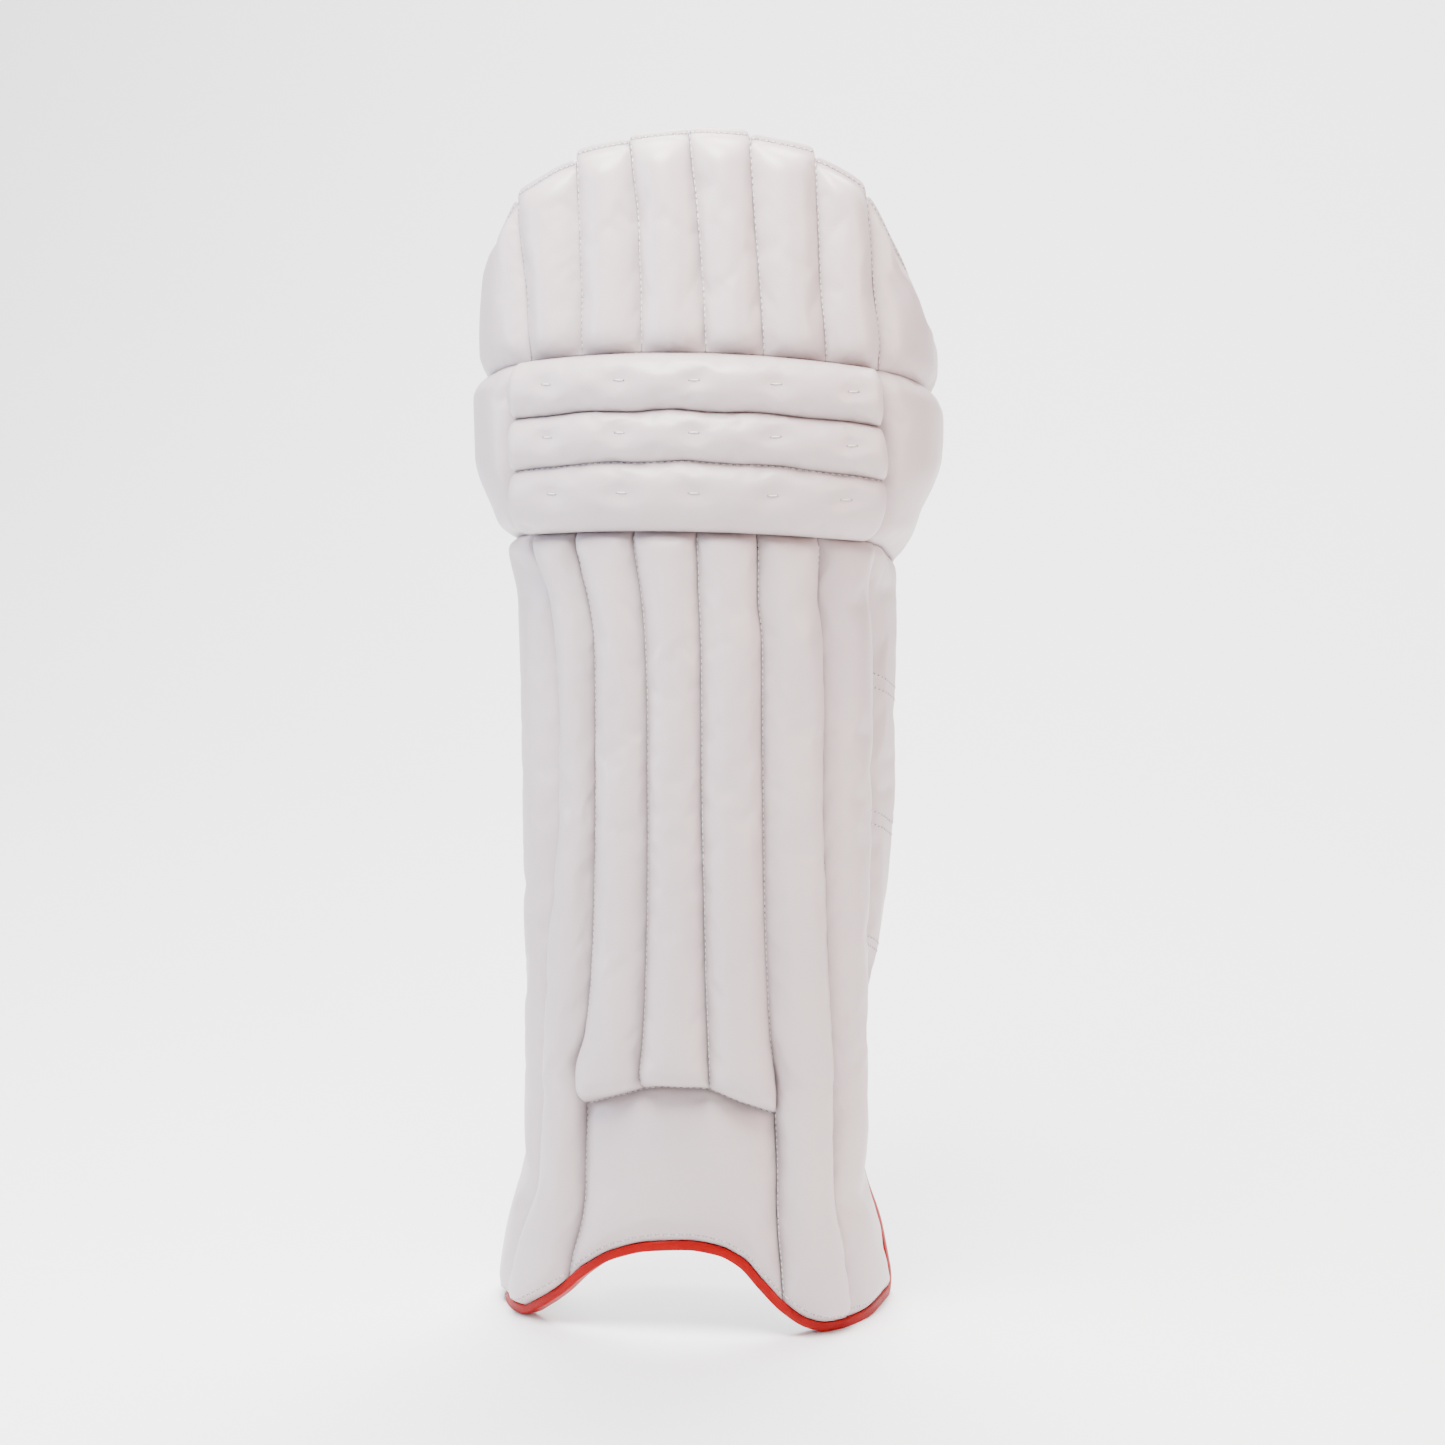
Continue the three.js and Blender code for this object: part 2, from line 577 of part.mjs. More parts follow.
// A flat strap whose tabs lie on the inner face and whose loop bulges out behind the leg
function strapGeometry({ at: middle, bulge }) {
  const inner = -(WALL_GAP + WALL_THICKNESS + STRAP_GAP + STRAP_THICKNESS / 2);
  const reach = (bulge * SHIN_WIDTH) / LOOP_REACH;
  const total = 2 * STRAP_TAB_STEPS + STRAP_LOOP_STEPS;
  const route = (step, z) => {
    const girth = sectionAt(z).girth;
    const tab = STRAP_TAB / girth;
    const first = step / STRAP_TAB_STEPS;
    const last = (total - step) / STRAP_TAB_STEPS;
    if (first <= 1) return above(mix(backIn(z) + tab, backIn(z), first), z, inner);
    if (last <= 1) return above(mix(backOut(z) - tab, backOut(z), last), z, inner);
    const start = above(backIn(z), z, inner);
    const end = above(backOut(z), z, inner);
    const ahead = onShell(backOut(z), z).out;
    const tangent = new THREE.Vector3(-ahead.y, ahead.x, 0).multiplyScalar(reach);
    const lead = start.clone().add(new THREE.Vector3(0, reach, 0));
    const loop = new THREE.CubicBezierCurve3(start, lead, end.clone().add(tangent), end);
    return loop.getPoint((step - STRAP_TAB_STEPS) / STRAP_LOOP_STEPS);
  };
  const stations = evenShares(total).map((share) => share * total);
  return bentBox(stations, [0, 1], (step, up, through) => {
    const z = middle + (up - 0.5) * STRAP_WIDTH;
    const run = route(Math.min(step + 0.5, total), z).sub(route(Math.max(step - 0.5, 0), z)).normalize();
    const across = new THREE.Vector3(run.y, -run.x, 0);
    return route(step, z).addScaledVector(across, (through - 0.5) * STRAP_THICKNESS);
  });
}

// Assembly

const guard = new THREE.Group();

function addPiece(name, geometry, material) {
  const mesh = new THREE.Mesh(geometry, material);
  mesh.name = name;
  guard.add(mesh);
}

const inset = SEAM_GAP / 2;

// Top hat: a flap at each end and six upright rolls between them
const hatBorders = (left, right) => ({
  left,
  right,
  low: kneeLevel(3),
  high: hatEdge,
  inset,
});
const flap = { puff: HAT_FLAP_PUFF, sides: WING_ROUND, columns: FLAP_COLUMNS };
const HAT_PIECES = [
  { name: "top_flap_inner", left: backIn, right: hatSeam(1), ...flap },
  ...[1, 2, 3, 4, 5, 6].map((number) => ({
    name: "top_roll_" + number,
    left: hatSeam(number),
    right: hatSeam(number + 1),
    puff: HAT_ROLL_PUFF,
    sides: KNEE_WIDTH,
    columns: ROLL_COLUMNS,
  })),
  { name: "top_flap_outer", left: hatSeam(7), right: backOut, ...flap },
];
for (const piece of HAT_PIECES) {
  const geometry = paddedPiece({
    borders: hatBorders(piece.left, piece.right),
    puff: piece.puff,
    sides: piece.sides,
    ends: ROLL_END_ROUND,
    columns: piece.columns,
    rows: rowsWithRims(ROLL_END_ROUND, evenRows(ROLL_END_ROUND, HAT_ROWS, HAT_FLANGE), HAT_FLANGE),
    flange: HAT_FLANGE,
    corner: HAT_CORNER,
  });
  addPiece(piece.name, geometry, MATERIALS.white);
}

// Knee: three level rolls and a smooth wing at each end
["bottom", "middle", "top"].forEach((place, number) => {
  const borders = {
    left: kneeEndIn,
    right: kneeEndOut,
    low: kneeLevel(number),
    high: kneeLevel(number + 1),
    inset,
  };
  const geometry = paddedPiece({
    borders,
    puff: KNEE_ROLL_PUFF,
    sides: ROLL_END_ROUND,
    ends: KNEE_TOP,
    columns: KNEE_COLUMNS,
    rows: arcShares(ROLL_COLUMNS).map((share) => (low, high) => mix(low, high, share)),
  });
  addPiece("knee_roll_" + place, geometry, MATERIALS.white);
});
for (const side of [
  { name: "knee_wing_inner", left: backIn, right: kneeEndIn },
  { name: "knee_wing_outer", left: kneeEndOut, right: backOut },
]) {
  const borders = {
    left: side.left,
    right: side.right,
    low: kneeLevel(0),
    high: kneeLevel(3),
    inset,
  };
  const geometry = paddedPiece({
    borders,
    puff: KNEE_WING_PUFF,
    sides: WING_ROUND,
    ends: WING_ROUND,
    columns: WING_COLUMNS,
    rows: rowsWithRims(WING_ROUND, evenRows(WING_ROUND, KNEE_WING_ROWS)),
  });
  addPiece(side.name, geometry, MATERIALS.white);
}

// Shin: seven upright rolls, of which the middle three end at the instep panel
for (const number of [1, 2, 3, 4, 5, 6, 7]) {
  const overInstep = number >= 3 && number <= 5;
  const onSide = number === 1 || number === 7;
  const borders = {
    left: number === 1 ? backIn : shinSeam(number - 1),
    right: shinSeam(number),
    low: overInstep ? instepEdge : shellBottom,
    high: kneeLevel(0),
    inset,
  };
  const outerPuff = onSide ? SIDE_ROLL_PUFF : CORNER_ROLL_PUFF;
  const from = overInstep ? INSTEP_TOP + ROLL_END_ROUND : 2 * ROLL_END_ROUND;
  const sideFullness = number === 7 ? OUTER_FULLNESS : SIDE_FULLNESS;
  const fullness = overInstep ? ROLL_FULLNESS : sideFullness;
  const geometry = paddedPiece({
    borders,
    puff: overInstep ? SHIN_ROLL_PUFF : outerPuff,
    sides: onSide ? PANEL_ROUND : SHIN_WIDTH,
    ends: ROLL_END_ROUND,
    columns: onSide ? WING_COLUMNS : ROLL_COLUMNS,
    rows: rowsWithRims(ROLL_END_ROUND, levelRows(from)),
    full: (share) => along(fullness, "full", share),
  });
  addPiece("shin_roll_" + number, geometry, MATERIALS.white);
}

// Instep panel over the arch
addPiece(
  "instep_panel",
  paddedPiece({
    borders: {
      left: shinSeam(2),
      right: shinSeam(5),
      low: shellBottom,
      high: instepEdge,
      inset,
    },
    puff: INSTEP_PUFF,
    sides: PANEL_ROUND,
    ends: PANEL_ROUND,
    columns: INSTEP_COLUMNS,
    rows: rowsWithRims(PANEL_ROUND, evenRows(PANEL_ROUND, INSTEP_ROWS)),
  }),
  MATERIALS.white,
);

// Calf wing that runs back on the outer side
addPiece(
  "calf_wing",
  paddedPiece({
    borders: {
      left: shinSeam(7),
      right: backOut,
      low: () => CALF_WING_LOW,
      high: kneeLevel(0),
      inset,
    },
    puff: CALF_WING_PUFF,
    sides: WING_ROUND,
    ends: WING_ROUND,
    columns: WING_COLUMNS,
    rows: rowsWithRims(WING_ROUND, levelRows(CALF_WING_LOW + WING_ROUND)),
  }),
  MATERIALS.white,
);

addPiece("back_wall", wallGeometry(), MATERIALS.lining);
addPiece("edge_binding", bindingGeometry(), MATERIALS.red);
for (const strap of STRAPS) addPiece(strap.name, strapGeometry(strap), MATERIALS.webbing);

// The origin is the middle of the guard's footprint, on the floor
const bounds = new THREE.Box3().setFromObject(guard);
const centre = bounds.getCenter(new THREE.Vector3());
guard.position.set(-centre.x, -centre.y, -bounds.min.z);

export default guard;
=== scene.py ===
"""Cricket batting leg guard: coated padded rolls, red edge binding, cloth inner wall and webbing straps."""

import logging
import math
from dataclasses import dataclass, field
from enum import Enum
from typing import Callable, Sequence

import bmesh
import bpy
import numpy as np
from mathutils import Matrix, Vector
from mathutils.bvhtree import BVHTree
from mathutils.noise import noise


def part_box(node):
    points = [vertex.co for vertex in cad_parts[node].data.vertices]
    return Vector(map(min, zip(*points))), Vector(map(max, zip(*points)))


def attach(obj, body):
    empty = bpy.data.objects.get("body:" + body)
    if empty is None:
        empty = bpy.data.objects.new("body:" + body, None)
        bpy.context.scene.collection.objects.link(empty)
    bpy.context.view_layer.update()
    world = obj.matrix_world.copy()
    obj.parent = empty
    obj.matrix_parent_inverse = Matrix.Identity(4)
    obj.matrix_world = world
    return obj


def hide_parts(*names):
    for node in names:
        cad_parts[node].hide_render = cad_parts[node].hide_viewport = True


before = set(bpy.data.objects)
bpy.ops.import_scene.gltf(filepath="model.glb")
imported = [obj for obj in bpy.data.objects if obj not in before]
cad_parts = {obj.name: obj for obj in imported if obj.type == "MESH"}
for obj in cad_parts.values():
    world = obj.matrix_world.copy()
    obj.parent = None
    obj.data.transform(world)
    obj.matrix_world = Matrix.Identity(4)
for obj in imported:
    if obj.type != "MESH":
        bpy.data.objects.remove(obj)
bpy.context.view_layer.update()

LOG = logging.getLogger("leg_guard")

Array = np.ndarray
Curve = Callable[[Array], Array]

# Driving sizes in metres, as on the solids
GUARD_HEIGHT = 0.693
KNEE_TOP = 0.569
SHIN_TOP = 0.469
INSTEP_TOP = 0.147
ARCH_RISE = 0.053
CALF_WING_LOW = 0.185
FOOT_WIDTH = 0.216
SHIN_WIDTH = 0.178
KNEE_WIDTH = 0.247
HAT_WIDTH = 0.229
FRONT_REACH = 0.062
EDGE_THICKNESS = 0.003
HAT_FLANGE = 0.004
LOBE_CORNER = 0.012
WALL_THICKNESS = 0.005
WALL_GAP = 0.0009
STRAP_GAP = 0.0008
BINDING_GAP = 0.0002
BINDING_HEIGHT = 0.005
BINDING_PROUD = 0.0015
BINDING_TOP = 0.14
STRAP_WIDTH = 0.04
STRAP_THICKNESS = 0.003
STRAP_TAB = 0.028
LOOP_REACH = 0.75
OPENING_FADE = 0.03
SLOPE_STEP = 0.01
SETTLE_PASSES = 6

# How the covers gather at seams and tacks, in metres and shares
SEAM_REACH = 0.004
LUMP_SIZE = 0.035
LUMP_STRETCH = (1.0, 0.6, 1.0)
GATHER_SIZE = 0.0035
GATHER_REACH = 0.005
GATHER_DRIFT = 0.2
TACK_WIDTH = 0.008
TACK_HEIGHT = 0.0045
TACK_HOLD = 0.0022
TACK_HOLD_WIDTH = 1.6
FLANGE_MARGIN = 0.0005

ZONES = {"shin": (0.0, SHIN_TOP), "knee": (SHIN_TOP, KNEE_TOP), "hat": (KNEE_TOP, GUARD_HEIGHT)}


def height_in(zone: str, share: float) -> float:
    """Height of a share of a zone."""
    low, high = ZONES[zone]
    return low + share * (high - low)


def mix(a: Array | float, b: Array | float, share: Array | float) -> Array | float:
    """Straight blend between two values."""
    return a + (b - a) * share


@dataclass(frozen=True)
class Table:
    """Rows of values at places, read smoothly in between without overshoot."""

    places: Sequence[float]
    columns: dict[str, Sequence[float]]

    @classmethod
    def of(cls, names: str, rows: Sequence[Sequence[float]]) -> "Table":
        """Makes a table from rows whose first value is the place.

        Args:
            names: The names of the other values, apart by spaces.
            rows: One sequence of numbers a row.

        Returns:
            The table.
        """
        split = names.split()
        columns = {name: [row[k + 1] for row in rows] for k, name in enumerate(split)}
        return cls([row[0] for row in rows], columns)

    def read(self, name: str, at: Array | float) -> Array:
        """Smooth value of one column.

        Args:
            name: The column.
            at: The places to read it at.

        Returns:
            One value for each place.
        """
        x = np.asarray(self.places, float)
        y = np.asarray(self.columns[name], float)
        slopes = np.diff(y) / np.diff(x)
        product = slopes[:-1] * slopes[1:]
        total = np.where(product > 0, slopes[:-1] + slopes[1:], 1.0)
        inner = np.where(product > 0, 2 * product / total, 0.0)
        tangents = np.concatenate([slopes[:1], inner, slopes[-1:]])
        at = np.clip(np.asarray(at, float), x[0], x[-1])
        i = np.clip(np.searchsorted(x, at, side="left") - 1, 0, len(x) - 2)
        span = x[i + 1] - x[i]
        t = (at - x[i]) / span
        lean = (1 - t) * (tangents[i] - slopes[i]) - t * (tangents[i + 1] - slopes[i])
        return mix(y[i], y[i + 1], t) + span * t * (1 - t) * lean


def sections() -> Table:
    """Plan sections: half width in metres, then shares and angles of the plan curve.

    Returns:
        The table of sections over the height.
    """
    rows = [
        ("shin", 0, FOOT_WIDTH, 1, 1, 0.62, 22, 7, -0.042),
        ("shin", 0.09, FOOT_WIDTH, 0.93, 0.92, 0.62, 22, 7, -0.034),
        ("shin", 0.19, SHIN_WIDTH, 1.01, 0.8, 0.62, 22, 4, -0.02),
        ("shin", 0.32, SHIN_WIDTH, 0.99, 0.74, 0.62, 22, 4, -0.017),
        ("shin", 0.65, SHIN_WIDTH, 1, 0.73, 0.62, 22, 11, -0.017),
        ("shin", 0.9, SHIN_WIDTH, 1.03, 0.75, 0.62, 22, 10, -0.015),
        ("knee", 0, KNEE_WIDTH, 0.885, 0.8, 0.66, 25, 5, -0.014),
        ("knee", 0.35, KNEE_WIDTH, 0.99, 0.88, 0.72, 28, 0, -0.01),
        ("knee", 1, KNEE_WIDTH, 1, 0.9, 0.72, 28, 0, -0.01),
        ("hat", 0.3, KNEE_WIDTH, 0.98, 0.83, 0.72, 28, 0, -0.014),
        ("hat", 1, HAT_WIDTH, 1, 0.65, 0.72, 28, 0, -0.022),
    ]
    names = "half front bow turn flare shift"
    return Table.of(names, [(height_in(z, s), of * w / 2, *rest) for z, s, of, w, *rest in rows])


def zone_table(zone: str, names: str, rows: Sequence[Sequence[float]]) -> Table:
    """A table whose rows start with a share of a zone's height."""
    return Table.of(names, [(height_in(zone, row[0]), *row[1:]) for row in rows])


SECTIONS = sections()
SHIN_SEAMS = zone_table("shin", "back_in s1 s2 s3 s4 s5 s6 s7 back_out", [
    (0, -1.22, -0.74, -0.43, -0.18, 0.14, 0.435, 0.72, 1.2, 1.2),
    (0.12, -1.18, -0.73, -0.437, -0.18, 0.14, 0.443, 0.73, 1.18, 1.18),
    (0.2, -1.14, -0.73, -0.48, -0.183, 0.137, 0.458, 0.733, 1.12, 1.12),
    (0.28, -1.11, -0.72, -0.49, -0.183, 0.137, 0.447, 0.733, 1.08, 1.08),
    (0.32, -1.1, -0.72, -0.505, -0.182, 0.137, 0.438, 0.732, 1.07, 1.07),
    (0.38, -1.1, -0.71, -0.455, -0.165, 0.13, 0.412, 0.722, 1.06, 1.12),
    (0.47, -1.1, -0.69, -0.423, -0.152, 0.117, 0.393, 0.7, 1.06, 1.4),
    (0.55, -1.1, -0.65, -0.411, -0.145, 0.111, 0.381, 0.686, 1.06, 1.48),
    (0.65, -1.1, -0.61, -0.4, -0.142, 0.101, 0.373, 0.664, 1.05, 1.51),
    (0.76, -1.1, -0.6, -0.395, -0.142, 0.097, 0.364, 0.657, 1.04, 1.49),
    (0.86, -1.1, -0.61, -0.394, -0.15, 0.092, 0.354, 0.634, 1, 1.46),
    (0.93, -1.12, -0.625, -0.42, -0.165, 0.078, 0.32, 0.58, 0.9, 1.37),
    (1, -1.12, -0.63, -0.41, -0.173, 0.059, 0.272, 0.5, 0.77, 1.17),
])
KNEE_ENDS = zone_table("knee", "end_in end_out back_in back_out", [
    (0, -0.64, 0.71, -1.15, 1.17),
    (0.3, -0.6, 0.675, -1.17, 1.17),
    (0.7, -0.585, 0.645, -1.17, 1.17),
    (1, -0.575, 0.635, -1.17, 1.17),
])
HAT_SEAMS = zone_table("hat", "back_in s1 s2 s3 s4 s5 s6 s7 back_out", [
    (0, -1.2, -0.55, -0.345, -0.132, 0.08, 0.268, 0.475, 0.67, 1.2),
    (0.25, -1.2, -0.58, -0.352, -0.137, 0.076, 0.266, 0.472, 0.668, 1.2),
    (0.6, -1.2, -0.645, -0.375, -0.152, 0.06, 0.257, 0.48, 0.672, 1.2),
    (1, -1.2, -0.72, -0.41, -0.195, 0.03, 0.25, 0.49, 0.675, 1.2),
])
ARCH = Table.of("rise", [
    (-0.72, 0), (-0.64, 0.025), (-0.55, 0.165), (-0.45, 0.38), (-0.36, 0.64), (-0.25, 0.85),
    (-0.1, 0.97), (0.06, 1), (0.18, 0.95), (0.27, 0.82), (0.35, 0.56), (0.43, 0.3), (0.52, 0.1),
    (0.6, 0.02), (0.68, 0),
])
INSTEP_EDGE = Table.of("rise", [
    (-0.5, 0.9), (-0.32, 0.95), (-0.08, 1), (0.08, 1), (0.28, 0.945), (0.46, 0.89),
])
HAT_EDGE = Table.of("rise", [
    (-1.25, 0.04), (-1.05, 0.2), (-0.9, 0.4), (-0.75, 0.56), (-0.68, 0.66), (-0.58, 0.75),
    (-0.45, 0.86), (-0.3, 0.93), (-0.15, 0.97), (0.05, 1), (0.25, 0.985), (0.36, 0.95), (0.48, 0.9),
    (0.6, 0.8), (0.7, 0.67), (0.78, 0.5), (0.85, 0.375), (0.93, 0.22), (1.05, 0.12), (1.25, 0.03),
])
ROLL_FULLNESS = Table.of("full", [(0, 1.15), (0.1, 1.1), (0.3, 1), (0.8, 0.92), (1, 0.8)])
SIDE_FULLNESS = Table.of("full", [(0, 0.75), (0.25, 1)])
OUTER_FULLNESS = Table.of("full", [(0, 0.5), (0.12, 0.6), (0.24, 1)])
KNEE_LEVELS = ((0, 0.17), (0.4, 0.3), (0.685, 0.26), (1, 0.25))
KNEE_WAVE = (0.0, 0.0006, 0.0008, 0.0)
KNEE_WAVE_TURNS = 23.0
STRAPS = {
    "ankle_strap": ("shin", 0.244, 0.24),
    "calf_strap": ("shin", 0.68, 0.26),
    "knee_strap": ("knee", 0.2, 0.24),
}


def joined(name: str) -> Table:
    """One column that runs through all three zones.

    Args:
        name: The tables' column.

    Returns:
        The column's table from the foot to the top.
    """
    places, values = [], []
    for table in (SHIN_SEAMS, KNEE_ENDS, HAT_SEAMS):
        skip = 1 if places else 0
        places += list(table.places)[skip:]
        values += list(table.columns[name])[skip:]
    return Table(places, {name: values})


BACK_IN = joined("back_in")
BACK_OUT = joined("back_out")


def dome(distance: Array | float, radius: Array | float) -> Array:
    """Quarter-round rise from 0 at an edge to 1 at a distance of radius."""
    left = 1 - np.clip(np.asarray(distance) / radius, 0, 1)
    return np.sqrt(1 - left * left)


class Shell:
    """The seam surface that all the pieces lie on: a share of the half girth and a height give a point."""

    def __init__(self) -> None:
        """Starts with the shell's own axis at the origin."""
        self.origin = Vector((0, 0, 0))

    def fit(self) -> None:
        """Moves the shell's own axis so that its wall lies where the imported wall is."""
        share, up = (a.ravel() for a in np.meshgrid(np.linspace(0, 1, 97), np.linspace(0, 1, 97)))
        wall = Borders(back_in, back_out, shell_bottom, hat_edge).settle(share, up)
        points = self.above(wall[0], wall[1], np.full(share.size, -WALL_GAP))
        low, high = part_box("back_wall")
        self.origin.x = (low.x + high.x) / 2 - (points[:, 0].min() + points[:, 0].max()) / 2
        self.origin.y = (low.y + high.y) / 2 - (points[:, 1].min() + points[:, 1].max()) / 2

    def girth(self, z: Array | float) -> Array:
        """Half girth at a height."""
        half, bow, turn = (SECTIONS.read(name, z) for name in ("half", "bow", "turn"))
        turn = np.radians(turn)
        bow = bow * KNEE_WIDTH
        side = (half - bow * np.sin(turn)) / (1 - np.sin(turn))
        return bow * turn + side * (math.pi / 2 - turn)

    def on(self, share: Array, z: Array) -> tuple[Array, Array]:
        """Points on the seam surface and their level outward directions.

        Args:
            share: Shares of the half girth, minus on the inner side.
            z: Heights in metres.

        Returns:
            Two arrays of three columns.
        """
        half, front, bow, turn, flare, shift = (
            SECTIONS.read(name, z) for name in ("half", "front", "bow", "turn", "flare", "shift")
        )
        turn, flare, bow = np.radians(turn), np.radians(flare), bow * KNEE_WIDTH
        side = (half - bow * np.sin(turn)) / (1 - np.sin(turn))
        girth = bow * turn + side * (math.pi / 2 - turn)
        hand = np.where(share < 0, -1.0, 1.0)
        length = np.abs(share) * girth
        middle = bow * turn
        stop = math.pi / 2 - np.where(hand > 0, flare, 0.0)
        angle = np.where(length < middle, length / bow, np.minimum(turn + (length - middle) / side, stop))
        bow_angle = np.minimum(angle, turn)
        past = angle > turn
        x = bow * np.sin(bow_angle) + np.where(past, side * (np.sin(angle) - np.sin(turn)), 0)
        y = bow * (1 - np.cos(bow_angle)) + np.where(past, side * (np.cos(turn) - np.cos(angle)), 0)
        straight = np.maximum(length - middle - side * (stop - turn), 0)
        x = shift * KNEE_WIDTH + hand * (x + straight * np.cos(angle))
        y = y - front * FRONT_REACH + straight * np.sin(angle)
        points = np.stack([x + self.origin.x, y + self.origin.y, z], 1)
        return points, np.stack([hand * np.sin(angle), -np.cos(angle), np.zeros_like(x)], 1)

    def above(self, share: Array, z: Array, depth: Array) -> Array:
        """Points at a depth above the seam surface."""
        points, out = self.on(np.asarray(share, float), np.asarray(z, float))
        return points + out * np.asarray(depth, float)[:, None]


def shin_seam(number: int) -> Curve:
    """Seam of the shin by its number, as a function of the height."""
    return lambda z: SHIN_SEAMS.read(f"s{number}", z)


def hat_seam(number: int) -> Curve:
    """Seam of the top hat by its number, as a function of the height."""
    return lambda z: HAT_SEAMS.read(f"s{number}", z)


def back_in(z: Array) -> Array:
    """Free edge on the inner side."""
    return BACK_IN.read("back_in", z)


def back_out(z: Array) -> Array:
    """Free edge on the outer side."""
    return BACK_OUT.read("back_out", z)


def knee_end_in(z: Array) -> Array:
    """Inner ends of the knee rolls."""
    return KNEE_ENDS.read("end_in", z)


def knee_end_out(z: Array) -> Array:
    """Outer ends of the knee rolls."""
    return KNEE_ENDS.read("end_out", z)


def knee_level(number: int) -> Curve:
    """Level seam of the knee by its number, as a function of the share.

    Args:
        number: 0 for the shin's top crease up to 3 for the top crease of the knee.

    Returns:
        The crease's height at a share of the half girth.
    """
    share, droop = KNEE_LEVELS[number]

    def level(across: Array) -> Array:
        """Height of the seam, which droops towards the sides."""
        reach = np.abs(across)
        drop = np.where(reach < 1, reach * reach, 2 * reach - 1)
        wave = KNEE_WAVE[number] * np.sin(KNEE_WAVE_TURNS * across + number) * np.exp(-2 * reach)
        return SHIN_TOP + (share - droop * drop) * (KNEE_TOP - SHIN_TOP) + wave

    return level


def arch_edge(share: Array) -> Array:
    """Bottom edge between the lobes."""
    return ARCH.read("rise", share) * ARCH_RISE


def instep_edge(share: Array) -> Array:
    """Top edge of the instep panel."""
    return INSTEP_EDGE.read("rise", share) * INSTEP_TOP


def hat_edge(share: Array) -> Array:
    """Top edge of the hat."""
    return KNEE_TOP + HAT_EDGE.read("rise", share) * (GUARD_HEIGHT - KNEE_TOP)


def level_at(z: float) -> Curve:
    """A level border."""
    return lambda share: np.full_like(np.asarray(share, float), z)


def binding_tall(share: Array) -> Array:
    """Upright height of the binding, which grows where the arch is steep."""
    run = 2 * SLOPE_STEP * SHELL.girth(0)
    slope = (arch_edge(share + SLOPE_STEP) - arch_edge(share - SLOPE_STEP)) / run
    return BINDING_HEIGHT * np.hypot(1, slope)


def shell_bottom(share: Array) -> Array:
    """Bottom edge of the shell just above its binding, rounded at the two corners behind."""
    share = np.asarray(share, float)
    base = arch_edge(share) + binding_tall(share) + BINDING_GAP
    edge = np.where(share < 0, -back_in(base), back_out(base))
    to_corner = (edge - np.abs(share)) * SHELL.girth(base)
    return base + LOBE_CORNER * (1 - dome(to_corner, LOBE_CORNER))


@dataclass(frozen=True)
class Borders:
    """Four borders of a piece on the shell. The borders depend on each other, so a point is settled."""

    left: Curve
    right: Curve
    low: Curve
    high: Curve

    def middle(self) -> float:
        """Height half way up the piece."""
        z = (float(self.low(np.zeros(1))[0]) + float(self.high(np.zeros(1))[0])) / 2
        for _ in range(SETTLE_PASSES):
            share = (self.left(z) + self.right(z)) / 2
            z = (float(self.low(share)) + float(self.high(share))) / 2
        return z

    def settle(self, across: Array, up: Array) -> tuple[Array, Array, Array, Array]:
        """Finds the points at shares across and up between the borders.

        Args:
            across: Shares from the left border to the right one.
            up: Shares from the low border to the high one.

        Returns:
            Shares of the half girth, heights, and the low and high border there.
        """
        z = np.full(across.shape, self.middle())
        share = mix(self.left(z), self.right(z), across)
        low = high = z
        for _ in range(SETTLE_PASSES):
            low, high = self.low(share), self.high(share)
            z = mix(low, high, up)
            share = mix(self.left(z), self.right(z), across)
        return share, z, low, high

    def width(self, z: Array | float) -> Array:
        """Width along the shell at a height."""
        return (self.right(z) - self.left(z)) * SHELL.girth(z)


SHELL = Shell()
SHELL.fit()


def grid_shares(count: int, lean: float) -> Array:
    """Shares from 0 to 1, closer together at both ends as lean goes from 0 to 1."""
    even = np.linspace(0, 1, count + 1)
    return mix(even, (1 - np.cos(math.pi * even)) / 2, lean)


def block(columns: int, rows: int) -> tuple[bpy.types.Mesh, Array, Array, Array]:
    """A closed block divided into a grid, as a mesh whose vertices are still shares.

    Args:
        columns: Faces across.
        rows: Faces up.

    Returns:
        The mesh, and for each vertex its column, its row and whether it is on the outer face.
    """
    bm = bmesh.new()
    bmesh.ops.create_grid(bm, x_segments=columns, y_segments=rows, size=0.5)
    whole = bm.verts[:] + bm.edges[:] + bm.faces[:]
    made = bmesh.ops.extrude_face_region(bm, geom=whole, use_keep_orig=True)["geom"]
    for vertex in made:
        if isinstance(vertex, bmesh.types.BMVert):
            vertex.co.z = 1
    bmesh.ops.recalc_face_normals(bm, faces=bm.faces[:])
    mesh = bpy.data.meshes.new("block")
    bm.to_mesh(mesh)
    bm.free()
    co = coordinates(mesh)
    column = np.rint((co[:, 0] + 0.5) * columns).astype(int)
    row = np.rint((co[:, 1] + 0.5) * rows).astype(int)
    return mesh, column, row, co[:, 2] > 0.5


def coordinates(mesh: bpy.types.Mesh) -> Array:
    """Vertex coordinates of a mesh, one row each."""
    co = np.empty(len(mesh.vertices) * 3)
    mesh.vertices.foreach_get("co", co)
    return co.reshape(-1, 3)


def place(mesh: bpy.types.Mesh, co: Array) -> None:
    """Puts the vertices of a mesh at new coordinates."""
    mesh.vertices.foreach_set("co", np.ascontiguousarray(co, np.float32).ravel())
    mesh.update()


